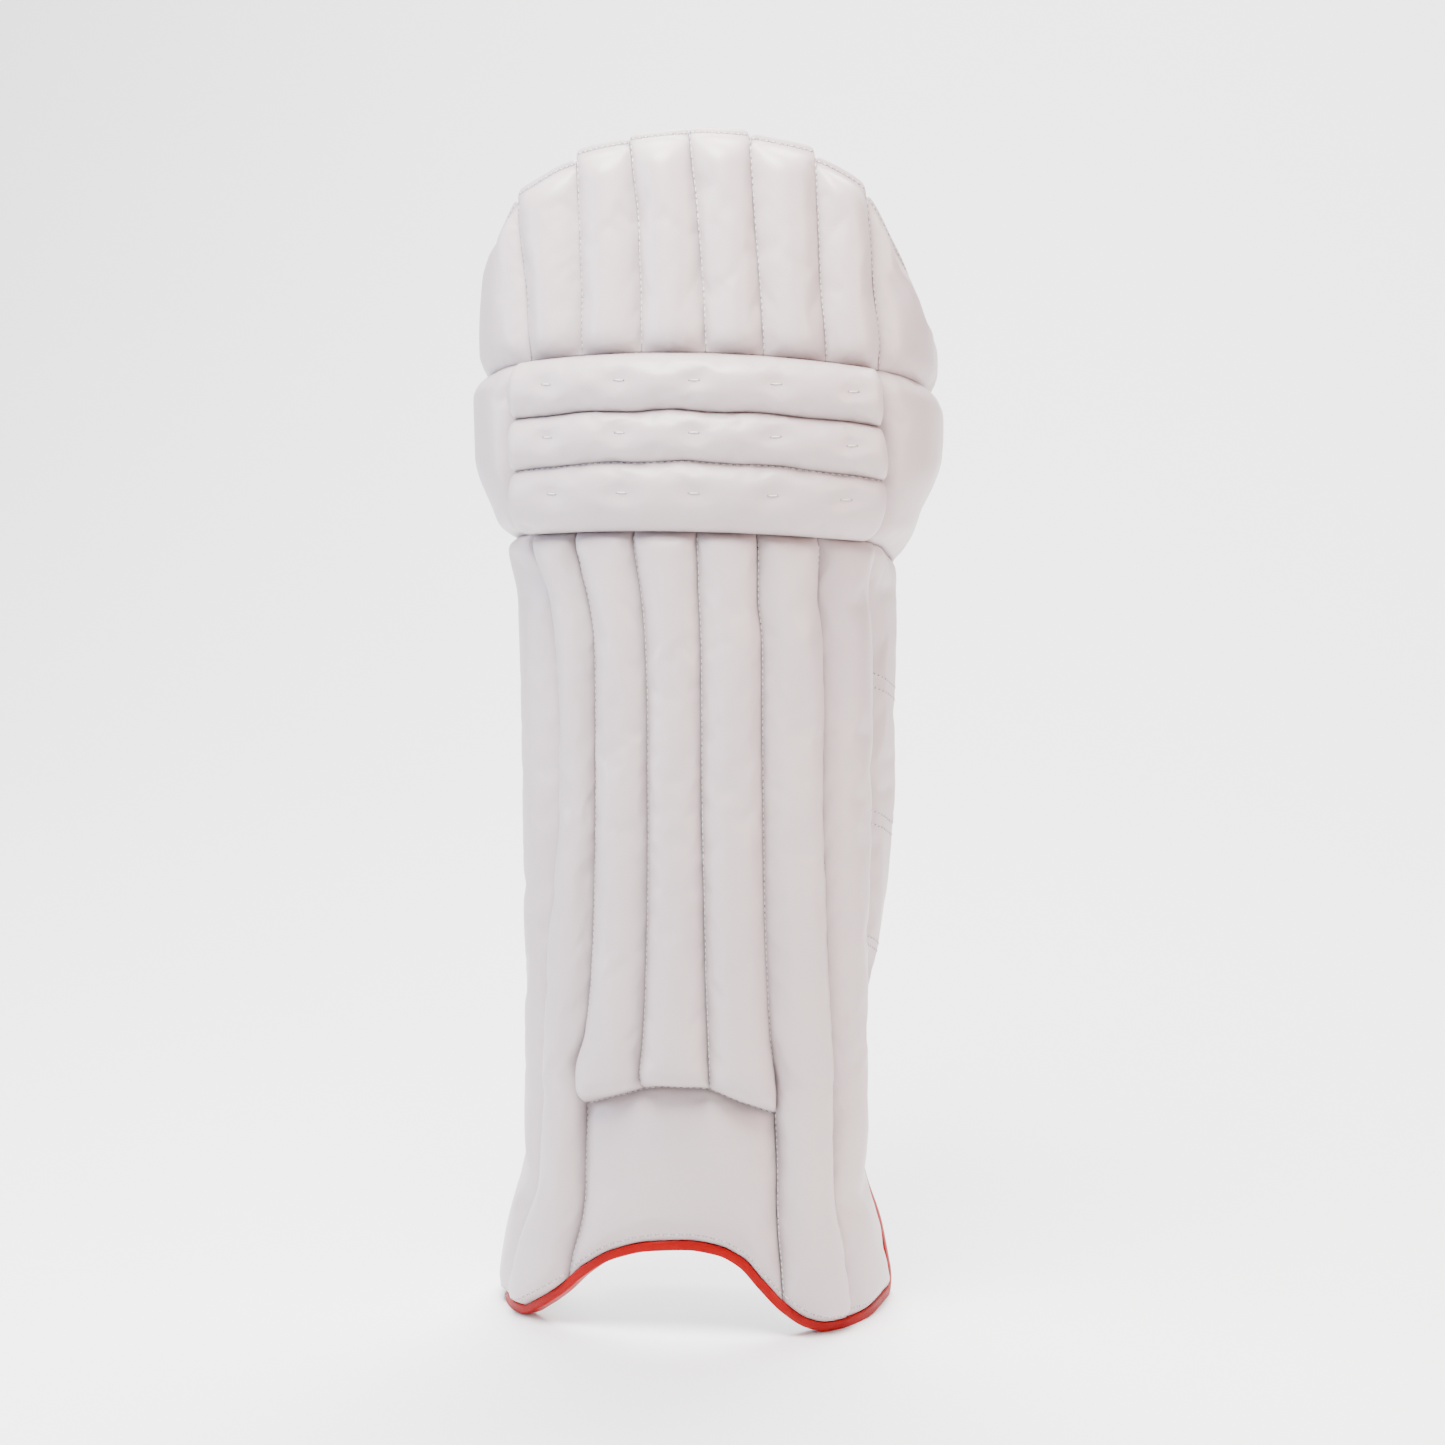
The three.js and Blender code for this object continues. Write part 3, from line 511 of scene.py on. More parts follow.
def face_outwards(mesh: bpy.types.Mesh) -> None:
    """Turns the faces of a closed mesh outwards and shades them smooth.

    Args:
        mesh: The mesh to turn.
    """
    bm = bmesh.new()
    bm.from_mesh(mesh)
    bmesh.ops.recalc_face_normals(bm, faces=bm.faces[:])
    bm.to_mesh(mesh)
    bm.free()
    mesh.shade_smooth()


def keep_values(mesh: bpy.types.Mesh, name: str, values: Array) -> None:
    """Stores one number for each vertex under a name."""
    layer = mesh.attributes.new(name, "FLOAT", "POINT")
    layer.data.foreach_set("value", np.ascontiguousarray(values, np.float32))


def keep_places(mesh: bpy.types.Mesh, name: str, values: Array) -> None:
    """Stores a place on the cloth for each vertex under a name."""
    layer = mesh.attributes.new(name, "FLOAT_VECTOR", "POINT")
    layer.data.foreach_set("vector", np.ascontiguousarray(values, np.float32).ravel())


def smooth_noise(points: Array, size: float, seed: float) -> Array:
    """Soft noise between -1 and 1 at each point, with bumps of a size in metres."""
    return np.array([noise(Vector((*(p / size + seed),))) for p in points])


def new_piece(name: str, mesh: bpy.types.Mesh, material: bpy.types.Material) -> bpy.types.Object:
    """Adds a finished piece to the guard.

    Args:
        name: The piece's name.
        mesh: Its mesh, in place.
        material: Its finish.

    Returns:
        The piece, which rides on the guard.
    """
    mesh.name = name
    mesh.materials.clear()
    mesh.materials.append(material)
    piece = bpy.data.objects.new(name, mesh)
    bpy.context.scene.collection.objects.link(piece)
    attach(piece, "root")
    return piece


def keep_rim(mesh: bpy.types.Mesh, rim: Array, outer: Array) -> None:
    """Keeps the border of a block sharp when it is rounded, so that neighbours meet at their seam.

    Args:
        mesh: The block.
        rim: Whether each vertex is on the border.
        outer: Whether each vertex is on the outer face.
    """
    ends = np.empty(len(mesh.edges) * 2, int)
    mesh.edges.foreach_get("vertices", ends)
    first, last = ends.reshape(-1, 2).T
    sharp = rim[first] & rim[last] & (outer[first] == outer[last])
    mesh.attributes.new("crease_edge", "FLOAT", "EDGE").data.foreach_set("value", sharp.astype(float))


def subdivide(piece: bpy.types.Object, levels: int) -> None:
    """Rounds a piece with a subdivision surface."""
    modifier = piece.modifiers.new("Rounding", "SUBSURF")
    modifier.levels = levels
    modifier.render_levels = levels


@dataclass(frozen=True)
class Swelling:
    """How the stuffing of a pad presses its cover out between the seams."""

    pressure: float = 4.0
    slack: float = 0.008
    most: float = 0.0025
    frames: int = 14
    quality: int = 5
    stiffness: float = 0.6

    def press(self, piece: bpy.types.Object, sewn: Array) -> None:
        """Runs the cloth and keeps its result in the mesh.

        Args:
            piece: The closed pad.
            sewn: Whether each vertex is held by a seam or the wall.
        """
        start = coordinates(piece.data)
        group = piece.vertex_groups.new(name="sewn")
        group.add(np.flatnonzero(sewn).tolist(), 1.0, "REPLACE")
        cloth = piece.modifiers.new("Cover", "CLOTH")
        settings = cloth.settings
        settings.vertex_group_mass = group.name
        settings.use_pressure = True
        settings.uniform_pressure_force = self.pressure
        settings.shrink_min = -self.slack
        settings.quality = self.quality
        settings.bending_stiffness = self.stiffness
        settings.effector_weights.gravity = 0
        cloth.collision_settings.use_collision = False
        cloth.point_cache.frame_start = 1
        cloth.point_cache.frame_end = self.frames
        scene = bpy.context.scene
        for number in range(1, self.frames + 1):
            scene.frame_set(number)
        shown = piece.evaluated_get(bpy.context.evaluated_depsgraph_get())
        move = coordinates(shown.data) - start
        piece.modifiers.remove(cloth)
        piece.vertex_groups.remove(group)
        far = np.linalg.norm(move, axis=1, keepdims=True)
        place(piece.data, start + move * np.minimum(1, self.most / np.maximum(far, 1e-9)))
        scene.frame_set(1)


@dataclass(frozen=True)
class Pad:
    """One padded piece: its borders, how high it is stuffed and how its cover puckers."""

    name: str
    borders: Borders
    puff: float
    sides: float
    ends: float
    columns: int
    rows: int
    lean_across: float = 0.7
    lean_up: float = 0.3
    fullness: Table | None = None
    flange: float = 0.0
    corner: float = 0.0
    fold: float = 1.0
    seam_flat: float = 0.0002
    closed: tuple[float, float, float, float] = (0.0, 0.0, 0.0, 0.0)
    open_below: float = 0.0
    seam_ends: tuple[float, float] = (1.0, 1.0)
    step: float = 0.0
    pucker: float = 0.0006
    lump: float = 0.0005
    tacks: Sequence[tuple[float, float]] = ()
    tack_depth: float = 0.0022
    swelling: Swelling = field(default_factory=Swelling)
    fill: float = 0.8

    def depth(self, across: Array, share: Array, z: Array, low: Array, high: Array) -> tuple[Array, Array]:
        """Shapes the cover.

        Args:
            across: Shares from the left border to the right one.
            share: Shares of the half girth.
            z: Heights.
            low: Height of the low border there.
            high: Height of the high border there.

        Returns:
            Depths over the seam surface, and how close each point is to a seam, up to 1.
        """
        width = self.borders.width(z)
        tall = high - low
        from_side = np.minimum(across, 1 - across) * width
        from_end = np.clip(np.minimum(z - low, high - self.flange - z), 0, None)
        sides = np.minimum(self.sides, width / 2)
        ends = np.minimum(self.ends, tall / 2)
        up = (z - low) / tall
        full = self.fullness.read("full", up) if self.fullness else 1.0
        left, right, bottom, top = self.closed
        side_base = np.where(across < 0.5, left, right)
        if self.open_below:
            side_base = side_base * np.clip((z - self.open_below) / OPENING_FADE, 0, 1)
        end_base = np.where(up < 0.5, bottom, top)
        side_rise = mix(side_base, 1, dome(from_side - self.seam_flat, sides) ** self.fold)
        end_rise = mix(end_base, 1, dome(from_end - self.seam_flat, ends) ** self.fold)
        rise = side_rise * end_rise
        from_fold = np.abs(high - self.flange - z)
        near_low = self.seam_ends[0] * np.exp(-(z - low) / SEAM_REACH)
        near_high = self.seam_ends[1] * np.exp(-from_fold / SEAM_REACH)
        seam = np.maximum(np.exp(-from_side / SEAM_REACH), np.maximum(near_low, near_high))
        points = np.stack([share * SHELL.girth(z), z, np.zeros_like(z)], 1)
        seed = float(sum(map(ord, self.name)) % 97)
        lumps = smooth_noise(points * LUMP_STRETCH, LUMP_SIZE, seed)
        along = np.where(from_side < from_end, z, points[:, 0])
        gathers = smooth_noise(np.stack([along, GATHER_DRIFT * seam, 0 * z], 1), GATHER_SIZE, seed)
        reach = np.exp(-((np.minimum(from_side, from_end) - SEAM_REACH) / GATHER_REACH) ** 2)
        depth = EDGE_THICKNESS + self.puff * full * rise + rise * self.lump * lumps
        depth += self.pucker * gathers * reach * rise
        for tack_share, tack_z in self.tacks:
            away_x = (share - tack_share) * SHELL.girth(z) / TACK_WIDTH
            away_z = (z - tack_z) / TACK_HEIGHT
            depth -= self.tack_depth * np.exp(-(away_x**2 + away_z**2)) * rise
        return depth, seam

    def rim(self, share: Array, up: Array | float, high: Array) -> Array:
        """High border with the pad's own step: its top edge is flatter than the whole outline."""
        middle = self.borders.settle(np.array([0.5]), np.array([1.0]))[1][0]
        return high + up**3 * self.step * (middle - high)

    def build(self, material: bpy.types.Material, slot: str) -> bpy.types.Object:
        """Makes the pad, lets its stuffing press the cover out and dresses it.

        Args:
            material: Its finish.
            slot: The record's material slot; not used.

        Returns:
            The piece, which replaces the solid of the same name.
        """
        mesh, column, row, outer = block(self.columns, self.rows)
        across = grid_shares(self.columns, self.lean_across)[column]
        up = grid_shares(self.rows, self.lean_up)[row]
        share, z, low, high = self.borders.settle(across, up)
        depth, seam = self.depth(across, share, z, low, high)
        from_side = np.minimum(across, 1 - across) * self.borders.width(z)
        if self.corner:
            z = self.rim(share, up, high) + z - high - up * self.corner * (1 - dome(from_side, self.corner))
        place(mesh, SHELL.above(share, z, np.where(outer, depth, 0.0)))
        face_outwards(mesh)
        keep_values(mesh, "seam", seam)
        keep_places(mesh, "cloth", np.stack([share * SHELL.girth(z), z, np.zeros_like(z)], 1))
        edge = (column == 0) | (column == self.columns) | (row == 0) | (row == self.rows)
        keep_rim(mesh, edge, outer)
        piece = new_piece(f"{self.name}_cover", mesh, material)
        flat = (high - z < self.flange + FLANGE_MARGIN) if self.flange else np.zeros_like(edge)
        held = np.zeros_like(edge)
        for tack_share, tack_z in self.tacks:
            away = np.hypot((share - tack_share) * SHELL.girth(z) / TACK_HOLD_WIDTH, z - tack_z)
            held |= away < TACK_HOLD
        self.swelling.press(piece, ~outer | edge | flat | held)
        subdivide(piece, 1)
        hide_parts(self.name)
        LOG.info("%s: %d faces", self.name, len(mesh.polygons))
        return piece


class Value:
    """A shader value that takes part in sums, so that an expression adds its Math nodes."""

    def __init__(self, finish: "NodeFinish", socket: bpy.types.NodeSocket) -> None:
        """Wraps a node's output."""
        self.finish = finish
        self.socket = socket

    def _math(self, operation: str, *terms: "Value | float") -> "Value":
        """Adds one Math node over the terms."""
        node = self.finish.node("ShaderNodeMath", {"operation": operation}, dict(enumerate(terms)))
        return Value(self.finish, node.outputs[0])

    def __add__(self, other: "Value | float") -> "Value":
        """Sum."""
        return self._math("ADD", self, other)

    def __radd__(self, other: float) -> "Value":
        """Sum with a number first."""
        return self._math("ADD", other, self)

    def __sub__(self, other: "Value | float") -> "Value":
        """Difference."""
        return self._math("SUBTRACT", self, other)

    def __rsub__(self, other: float) -> "Value":
        """Difference from a number."""
        return self._math("SUBTRACT", other, self)

    def __mul__(self, other: "Value | float") -> "Value":
        """Product."""
        return self._math("MULTIPLY", self, other)

    def __rmul__(self, other: float) -> "Value":
        """Product with a number first."""
        return self._math("MULTIPLY", other, self)

    def __truediv__(self, other: "Value | float") -> "Value":
        """Quotient."""
        return self._math("DIVIDE", self, other)

    def __pow__(self, other: "Value | float") -> "Value":
        """Power."""
        return self._math("POWER", self, other)

    def sine(self) -> "Value":
        """Sine of the value in radians."""
        return self._math("SINE", self)

    def size(self) -> "Value":
        """The value without its sign."""
        return self._math("ABSOLUTE", self)

    def between(self, low: float, high: float) -> "Value":
        """Share of the way from low to high, held between 0 and 1."""
        sockets = {"Value": self, "From Min": low, "From Max": high}
        node = self.finish.node("ShaderNodeMapRange", {"clamp": True}, sockets)
        return Value(self.finish, node.outputs[0])


class NodeFinish:
    """A material under construction: one principled shader and the nodes that feed it."""

    def __init__(self, name: str) -> None:
        """Starts an empty material."""
        self.material = bpy.data.materials.new(name)
        self.material.use_nodes = True
        self.tree = self.material.node_tree
        self.shader = self.tree.nodes["Principled BSDF"]

    def node(self, kind: str, settings: dict | None = None, sockets: dict | None = None) -> bpy.types.Node:
        """Adds a node.

        Args:
            kind: The node's type.
            settings: Its settings, set first. The stops of a ramp are (place, colour) pairs.
            sockets: Values or links for its inputs, by name or number.

        Returns:
            The node.
        """
        made = self.tree.nodes.new(kind)
        for key, value in (settings or {}).items():
            if key == "stops":
                for element, (at, color) in zip(made.color_ramp.elements, value):
                    element.position = at
                    element.color = color
            else:
                setattr(made, key, value)
        for key, value in (sockets or {}).items():
            self.feed(made.inputs[key], value)
        return made

    def feed(self, socket: bpy.types.NodeSocket, value: object) -> None:
        """Sets a socket to a number or colour, or links it.

        Args:
            socket: The input socket.
            value: A socket to link or a value to set.
        """
        if isinstance(value, Value):
            self.tree.links.new(value.socket, socket)
        elif isinstance(value, bpy.types.NodeSocket):
            self.tree.links.new(value, socket)
        else:
            socket.default_value = value

    def place(self) -> bpy.types.NodeSocket:
        """Place on the object, in metres."""
        return self.node("ShaderNodeTexCoord").outputs["Object"]

    def stored(self, name: str) -> Value:
        """A number stored in the mesh."""
        return Value(self, self.node("ShaderNodeAttribute", {"attribute_name": name}).outputs["Fac"])

    def stored_place(self, name: str) -> bpy.types.NodeSocket:
        """A place stored in the mesh."""
        return self.node("ShaderNodeAttribute", {"attribute_name": name}).outputs["Vector"]

    def stretched(self, place: bpy.types.NodeSocket, scale: Sequence[float]) -> bpy.types.NodeSocket:
        """A place stretched along its axes."""
        return self.node("ShaderNodeMapping", None, {"Vector": place, "Scale": scale}).outputs[0]

    def clouds(self, place: bpy.types.NodeSocket, size: float, detail: float = 2.0) -> Value:
        """Soft noise from 0 to 1 with bumps of a size in metres."""
        sockets = {"Vector": place, "Scale": 1 / size, "Detail": detail}
        return Value(self, self.node("ShaderNodeTexNoise", None, sockets).outputs[0])

    def cells(self, place: bpy.types.NodeSocket, size: float) -> Value:
        """Distance from the middles of small cells of a size in metres."""
        sockets = {"Vector": place, "Scale": 1 / size}
        return Value(self, self.node("ShaderNodeTexVoronoi", None, sockets).outputs["Distance"])

    def blend(self, share: Value, first: object, second: object) -> bpy.types.NodeSocket:
        """Colour between two colours."""
        sockets = {0: share, 6: first, 7: second}
        return self.node("ShaderNodeMix", {"data_type": "RGBA"}, sockets).outputs[2]

    def relief(
        self, height: Value, distance: float, under: bpy.types.NodeSocket | None = None
    ) -> bpy.types.NodeSocket:
        """Bump of a height from 0 to 1 over a distance in metres, on top of another bump."""
        sockets = {"Height": height, "Distance": distance, "Strength": 1.0}
        if under is not None:
            sockets["Normal"] = under
        return self.node("ShaderNodeBump", None, sockets).outputs[0]

    def close(self, **sockets: object) -> bpy.types.Material:
        """Feeds the shader, with underscores for spaces, and returns the material."""
        for key, value in sockets.items():
            self.feed(self.shader.inputs[key.replace("_", " ")], value)
        return self.material


Color = tuple[float, float, float, float]


@dataclass(frozen=True)
class CoatedLeather:
    """Smooth coated leather-look cloth: fine pebbled grain, soft sheen, dirt and painted shade in the
    seams.
    """

    name: str
    color: Color
    shade: Color
    soil_and_shade: Color
    roughness: float
    coat: float
    gloss: float = 0.45
    # A narrow dark line right along the seams is painted shade, of this strength and colour.
    line: float = 0.6
    seam_shade_color: Color = (0.1, 0.085, 0.085, 1)
    coat_roughness: float = 0.25
    cloud_size: float = 0.07
    patch_size: float = 0.012
    grain_size: float = 0.0013
    grain_height: float = 0.00005
    crease_size: float = 0.0045
    crease_height: float = 0.0005
    crease_stretch: tuple[float, float, float] = (1.0, 0.55, 1.0)

    def material(self) -> bpy.types.Material:
        """Makes the finish.

        Returns:
            The material.
        """
        finish = NodeFinish(self.name)
        place = finish.place()
        seam = finish.stored("seam")
        cloud = finish.clouds(place, self.cloud_size)
        patch = finish.clouds(place, self.patch_size, 3.0)
        tinted = finish.blend(cloud.between(0.35, 0.68), self.color, self.shade)
        # Partly dirt, partly painted shade: darker in patches close to the seams, where the valleys lie in
        # shade.
        soiled_and_shaded = finish.blend(seam**3.0 * 0.5 * patch.between(0.2, 0.7), tinted, self.soil_and_shade)
        # Painted shade: a narrow dark line right along the seams.
        seam_shaded = finish.blend(seam**14.0 * self.line, soiled_and_shaded, self.seam_shade_color)
        grain = finish.cells(place, self.grain_size) + 0.5 * finish.clouds(place, self.grain_size / 3)
        cloth = finish.stretched(finish.stored_place("cloth"), self.crease_stretch)
        creases = finish.clouds(cloth, self.crease_size, 1.0) * (0.12 + seam)
        normal = finish.relief(creases, self.crease_height, finish.relief(grain, self.grain_height))
        rough = self.roughness + 0.1 * (patch - 0.5) + 0.1 * seam
        return finish.close(
            Base_Color=seam_shaded,
            Roughness=rough,
            Normal=normal,
            Coat_Weight=self.coat,
            Coat_Roughness=self.coat_roughness,
            Specular_IOR_Level=self.gloss,
        )


class Weave(Enum):
    """How a cloth's threads cross."""

    PLAIN = "plain"
    TWILL = "twill"


@dataclass(frozen=True)
class WovenCloth:
    """Cloth whose threads follow the piece."""

    name: str
    color: Color
    shade: Color
    weave: Weave
    pitch: float
    height: float
    selvage: float = 0.0
    # Colour of painted shade in the hollows between threads.
    gap_shade_color: Color = (0.32, 0.31, 0.32, 1)
    fuzz_size: float = 0.0009
    cloud_size: float = 0.05

    def material(self) -> bpy.types.Material:
        """Makes the finish.

        Returns:
            The material.
        """
        finish = NodeFinish(self.name)
        cloth = finish.stored_place("cloth")
        split = finish.node("ShaderNodeSeparateXYZ", None, {0: cloth})
        across, along = Value(finish, split.outputs[0]), Value(finish, split.outputs[1])
        turn = math.pi / self.pitch
        if self.weave is Weave.PLAIN:
            checks = finish.node("ShaderNodeTexChecker", None, {"Vector": cloth, "Scale": 1 / self.pitch})
            over = Value(finish, checks.outputs["Fac"])
            threads = (across * turn).sine().size() * over + (along * turn).sine().size() * (1 - over)
        else:
            ribs = ((across + along) * turn).sine().size()
            threads = ribs * 0.7 + 0.3 * (across * (turn / 3)).sine().size()
        if self.selvage:
            band = (across - STRAP_WIDTH / 2).size().between(self.selvage, self.selvage + self.pitch / 4)
            threads = threads * (1 - band) + band * (along * turn).sine().size()
        fuzz = finish.clouds(finish.place(), self.fuzz_size, 2.0)
        cloud = finish.clouds(finish.place(), self.cloud_size)
        worn = finish.blend(cloud.between(0.3, 0.7), self.color, self.shade)
        # The hollows between threads are darker: painted shade in the weave.
        color = finish.blend((1 - threads) * 0.45, worn, self.gap_shade_color)
        normal = finish.relief(threads + 0.3 * fuzz, self.height)
        return finish.close(
            Base_Color=color,
            Roughness=0.78 + 0.12 * fuzz,
            Normal=normal,
            Sheen_Weight=0.15,
            Sheen_Roughness=0.5,
        )


@dataclass(frozen=True)
class Thread:
    """Twisted sewing thread, or the painted shade inside the needle puncture beside it."""

    name: str
    color: Color
    strand_color: Color = (0.5, 0.48, 0.5, 1)
    strand_size: float = 0.0006
    strand_height: float = 0.0002

    def material(self) -> bpy.types.Material:
        """Makes the finish.

        Returns:
            The material.
        """
        finish = NodeFinish(self.name)
        place = finish.place()
        strands = finish.clouds(place, self.strand_size, 1.0)
        color = finish.blend(strands.between(0.3, 0.7), self.color, self.strand_color)
        normal = finish.relief(strands, self.strand_height)
        return finish.close(Base_Color=color, Roughness=0.55 + 0.2 * strands, Normal=normal)


@dataclass(frozen=True)
class Floor:
    """Matt pale studio floor."""

    name: str
    color: Color
    shade: Color = (0.88, 0.88, 0.88, 1)
    cloud_size: float = 0.8

    def material(self) -> bpy.types.Material:
        """Makes the finish."""
        finish = NodeFinish(self.name)
        cloud = finish.clouds(finish.place(), self.cloud_size)
        color = finish.blend(cloud * 0.2, self.color, self.shade)
        return finish.close(Base_Color=color, Roughness=0.7 + 0.05 * cloud, Specular_IOR_Level=0.2)


@dataclass
class TopHat:
    """The top: six upright rolls between two flaps, with a flat stitched flange along the top edge."""

    roll_puff: float = 0.011
    flap_puff: float = 0.006
    end_round: float = 0.014
    flap_round: float = 0.012
    closed_low: float = 0.3
    corner: float = 0.003
    seam_flat: float = 0.0008
    step: float = 0.3
    rim_inset: float = 0.02
    rim_steps: int = 30

    def rims(self) -> list[tuple[Array, Array]]:
        """Top edge of each pad: shares and heights.

        Returns:
            Shares and heights along each edge, one pair a pad.
        """
        rims = []
        across = np.linspace(self.rim_inset, 1 - self.rim_inset, self.rim_steps)
        for pad in self.pads():
            share, high, _, _ = pad.borders.settle(across, np.ones(self.rim_steps))
            rims.append((share, pad.rim(share, 1.0, high)))
        return rims

    def pads(self) -> list[Pad]:
        """The pads, from the inner side to the outer.

        Returns:
            The pads.
        """
        edges = [back_in, *(hat_seam(number) for number in range(1, 8)), back_out]
        names = ["top_flap_inner", *(f"top_roll_{number}" for number in range(1, 7)), "top_flap_outer"]
        pads = []
        for name, left, right in zip(names, edges, edges[1:]):
            flap = "flap" in name
            pads.append(Pad(
                name=name,
                borders=Borders(left, right, knee_level(3), hat_edge),
                puff=self.flap_puff if flap else self.roll_puff,
                sides=self.flap_round if flap else KNEE_WIDTH,
                ends=self.end_round,
                columns=30 if flap else 18,
                rows=36,
                lean_across=0.4 if flap else 0.7,
                flange=HAT_FLANGE,
                closed=(0.0, 0.0, 0.0 if flap else self.closed_low, 0.0),
                seam_ends=(0.8, 0.35),
                corner=self.corner,
                fold=1.5,
                seam_flat=self.seam_flat,
                step=0.0 if flap else self.step,
            ))
        return pads


@dataclass
class Knee:
    """Three level rolls with sewn tacks, and a smooth wing at each end."""

    roll_puff: float = 0.022
    wing_puff: float = 0.01
    end_round: float = 0.009
    wing_round: float = 0.012
    closed_ends: float = 0.1
    closed: tuple[tuple[float, float], ...] = ((0.45, 0.6), (0.6, 0.6), (0.6, 0.42))
    tack_shares: tuple[float, ...] = (-0.41, -0.17, 0.055, 0.295, 0.527)
    tack_heights: tuple[float, ...] = (0.23, 0.57, 0.86)

    def tacks(self, number: int) -> list[tuple[float, float]]:
        """Places of the tacks of a roll, which follow its droop."""
        droop = KNEE_LEVELS[number][1]
        rise = self.tack_heights[number]
        height = KNEE_TOP - SHIN_TOP
        return [(share, SHIN_TOP + (rise - droop * share * share) * height) for share in self.tack_shares]

    def pads(self) -> list[Pad]:
        """The rolls from below, then the two wings.

        Returns:
            The pads.
        """
        pads = [
            Pad(
                name=f"knee_roll_{place}",
                borders=Borders(knee_end_in, knee_end_out, knee_level(number), knee_level(number + 1)),
                puff=self.roll_puff,
                sides=self.end_round,
                ends=KNEE_TOP,
                closed=(self.closed_ends, self.closed_ends, *self.closed[number]),
                columns=70,
                rows=20,
                lean_across=0.25,
                lean_up=0.7,
                tacks=self.tacks(number),
            )
            for number, place in enumerate(("bottom", "middle", "top"))
        ]
        wings = {"knee_wing_inner": (back_in, knee_end_in), "knee_wing_outer": (knee_end_out, back_out)}
        for name, (left, right) in wings.items():
            pads.append(Pad(
                name=name,
                borders=Borders(left, right, knee_level(0), knee_level(3)),
                puff=self.wing_puff,
                fold=1.3,
                sides=self.wing_round,
                ends=self.wing_round,
                columns=30,
                rows=36,
                lean_across=0.4,
            ))
        return pads


@dataclass
class Shin:
    """Seven upright rolls from the inner side to the outer, and the wing that runs back round the calf."""

    roll_puff: float = 0.019
    corner_puff: float = 0.015
    side_puff: float = 0.01
    wing_puff: float = 0.006
    end_round: float = 0.014
    side_end_round: float = 0.008
    side_round: float = 0.016
    wing_round: float = 0.012
    shoulder: float = 0.012
    closed_low: float = 0.05
    closed_top: float = 0.32
    foot_seam: float = 0.3
    dents: dict[int, tuple[tuple[float, float], ...]] = field(
        default_factory=lambda: {1: ((-0.765, 0.0135),), 7: ((0.745, 0.0135),)}
    )
    dent_depth: float = 0.0035
    closed: tuple[tuple[float, float], ...] = (
        (0.0, 0.2),
        (0.15, 0.45),
        (0.4, 0.5),
        (0.5, 0.5),
        (0.5, 0.4),
        (0.45, 0.1),
        (0.1, 0.05),
    )

    def roll(self, number: int) -> Pad:
        """One roll by its number.

        Args:
            number: 1 at the inner side up to 7 at the outer side.

        Returns:
            The roll's pad.
        """
        over_instep = 3 <= number <= 5
        on_side = number in (1, 7)
        outer_puff = self.side_puff if on_side else self.corner_puff
        left = back_in if number == 1 else shin_seam(number - 1)
        low = instep_edge if over_instep else shell_bottom
        side_fullness = OUTER_FULLNESS if number == 7 else SIDE_FULLNESS
        return Pad(
            name=f"shin_roll_{number}",
            borders=Borders(left, shin_seam(number), low, knee_level(0)),
            puff=self.roll_puff if over_instep else outer_puff,
            sides=self.side_round if on_side else self.shoulder,
            ends=self.side_end_round if on_side else self.end_round,
            columns=24 if on_side else 20,
            rows=90 if over_instep else 120,
            lean_across=0.5 if on_side else 0.75,
            lean_up=0.1,
            fold=1.35 if on_side else 1.0,
            closed=(*self.closed[number - 1], self.closed_low, self.closed_top),
            seam_ends=(1.0 if over_instep else self.foot_seam, 0.8),
            tacks=self.dents.get(number, ()),
            tack_depth=self.dent_depth,
            fullness=ROLL_FULLNESS if over_instep else side_fullness,
            open_below=0.0 if over_instep else INSTEP_TOP,
        )

    def pads(self) -> list[Pad]:
        """The rolls and the calf wing.

        Returns:
            The pads.
        """
        wing = Pad(
            name="calf_wing",
            borders=Borders(shin_seam(7), back_out, level_at(CALF_WING_LOW), knee_level(0)),
            puff=self.wing_puff,
            sides=self.wing_round,
            ends=self.wing_round,
            columns=24,
            rows=70,
            lean_across=0.3,
            lean_up=0.1,
            fold=1.3,
            fill=0.4,
        )
        return [*(self.roll(number) for number in range(1, 8)), wing]


@dataclass
class Instep:
    """The smooth panel over the shoe's instep."""

    puff: float = 0.008
    round: float = 0.016
    foot_seam: float = 0.3
    dents: tuple[tuple[float, float], ...] = ((-0.405, 0.041), (0.4, 0.037))

    def pads(self) -> list[Pad]:
        """The one panel.

        Returns:
            The pad, in a list.
        """
        return [Pad(
            name="instep_panel",
            borders=Borders(shin_seam(2), shin_seam(5), shell_bottom, instep_edge),
            seam_ends=(self.foot_seam, 1.0),
            tacks=self.dents,
            puff=self.puff,
            sides=self.round,
            ends=self.round,
            columns=44,
            rows=34,
            lean_across=0.3,
            lean_up=0.3,
            fold=1.3,
            fill=0.5,
        )]


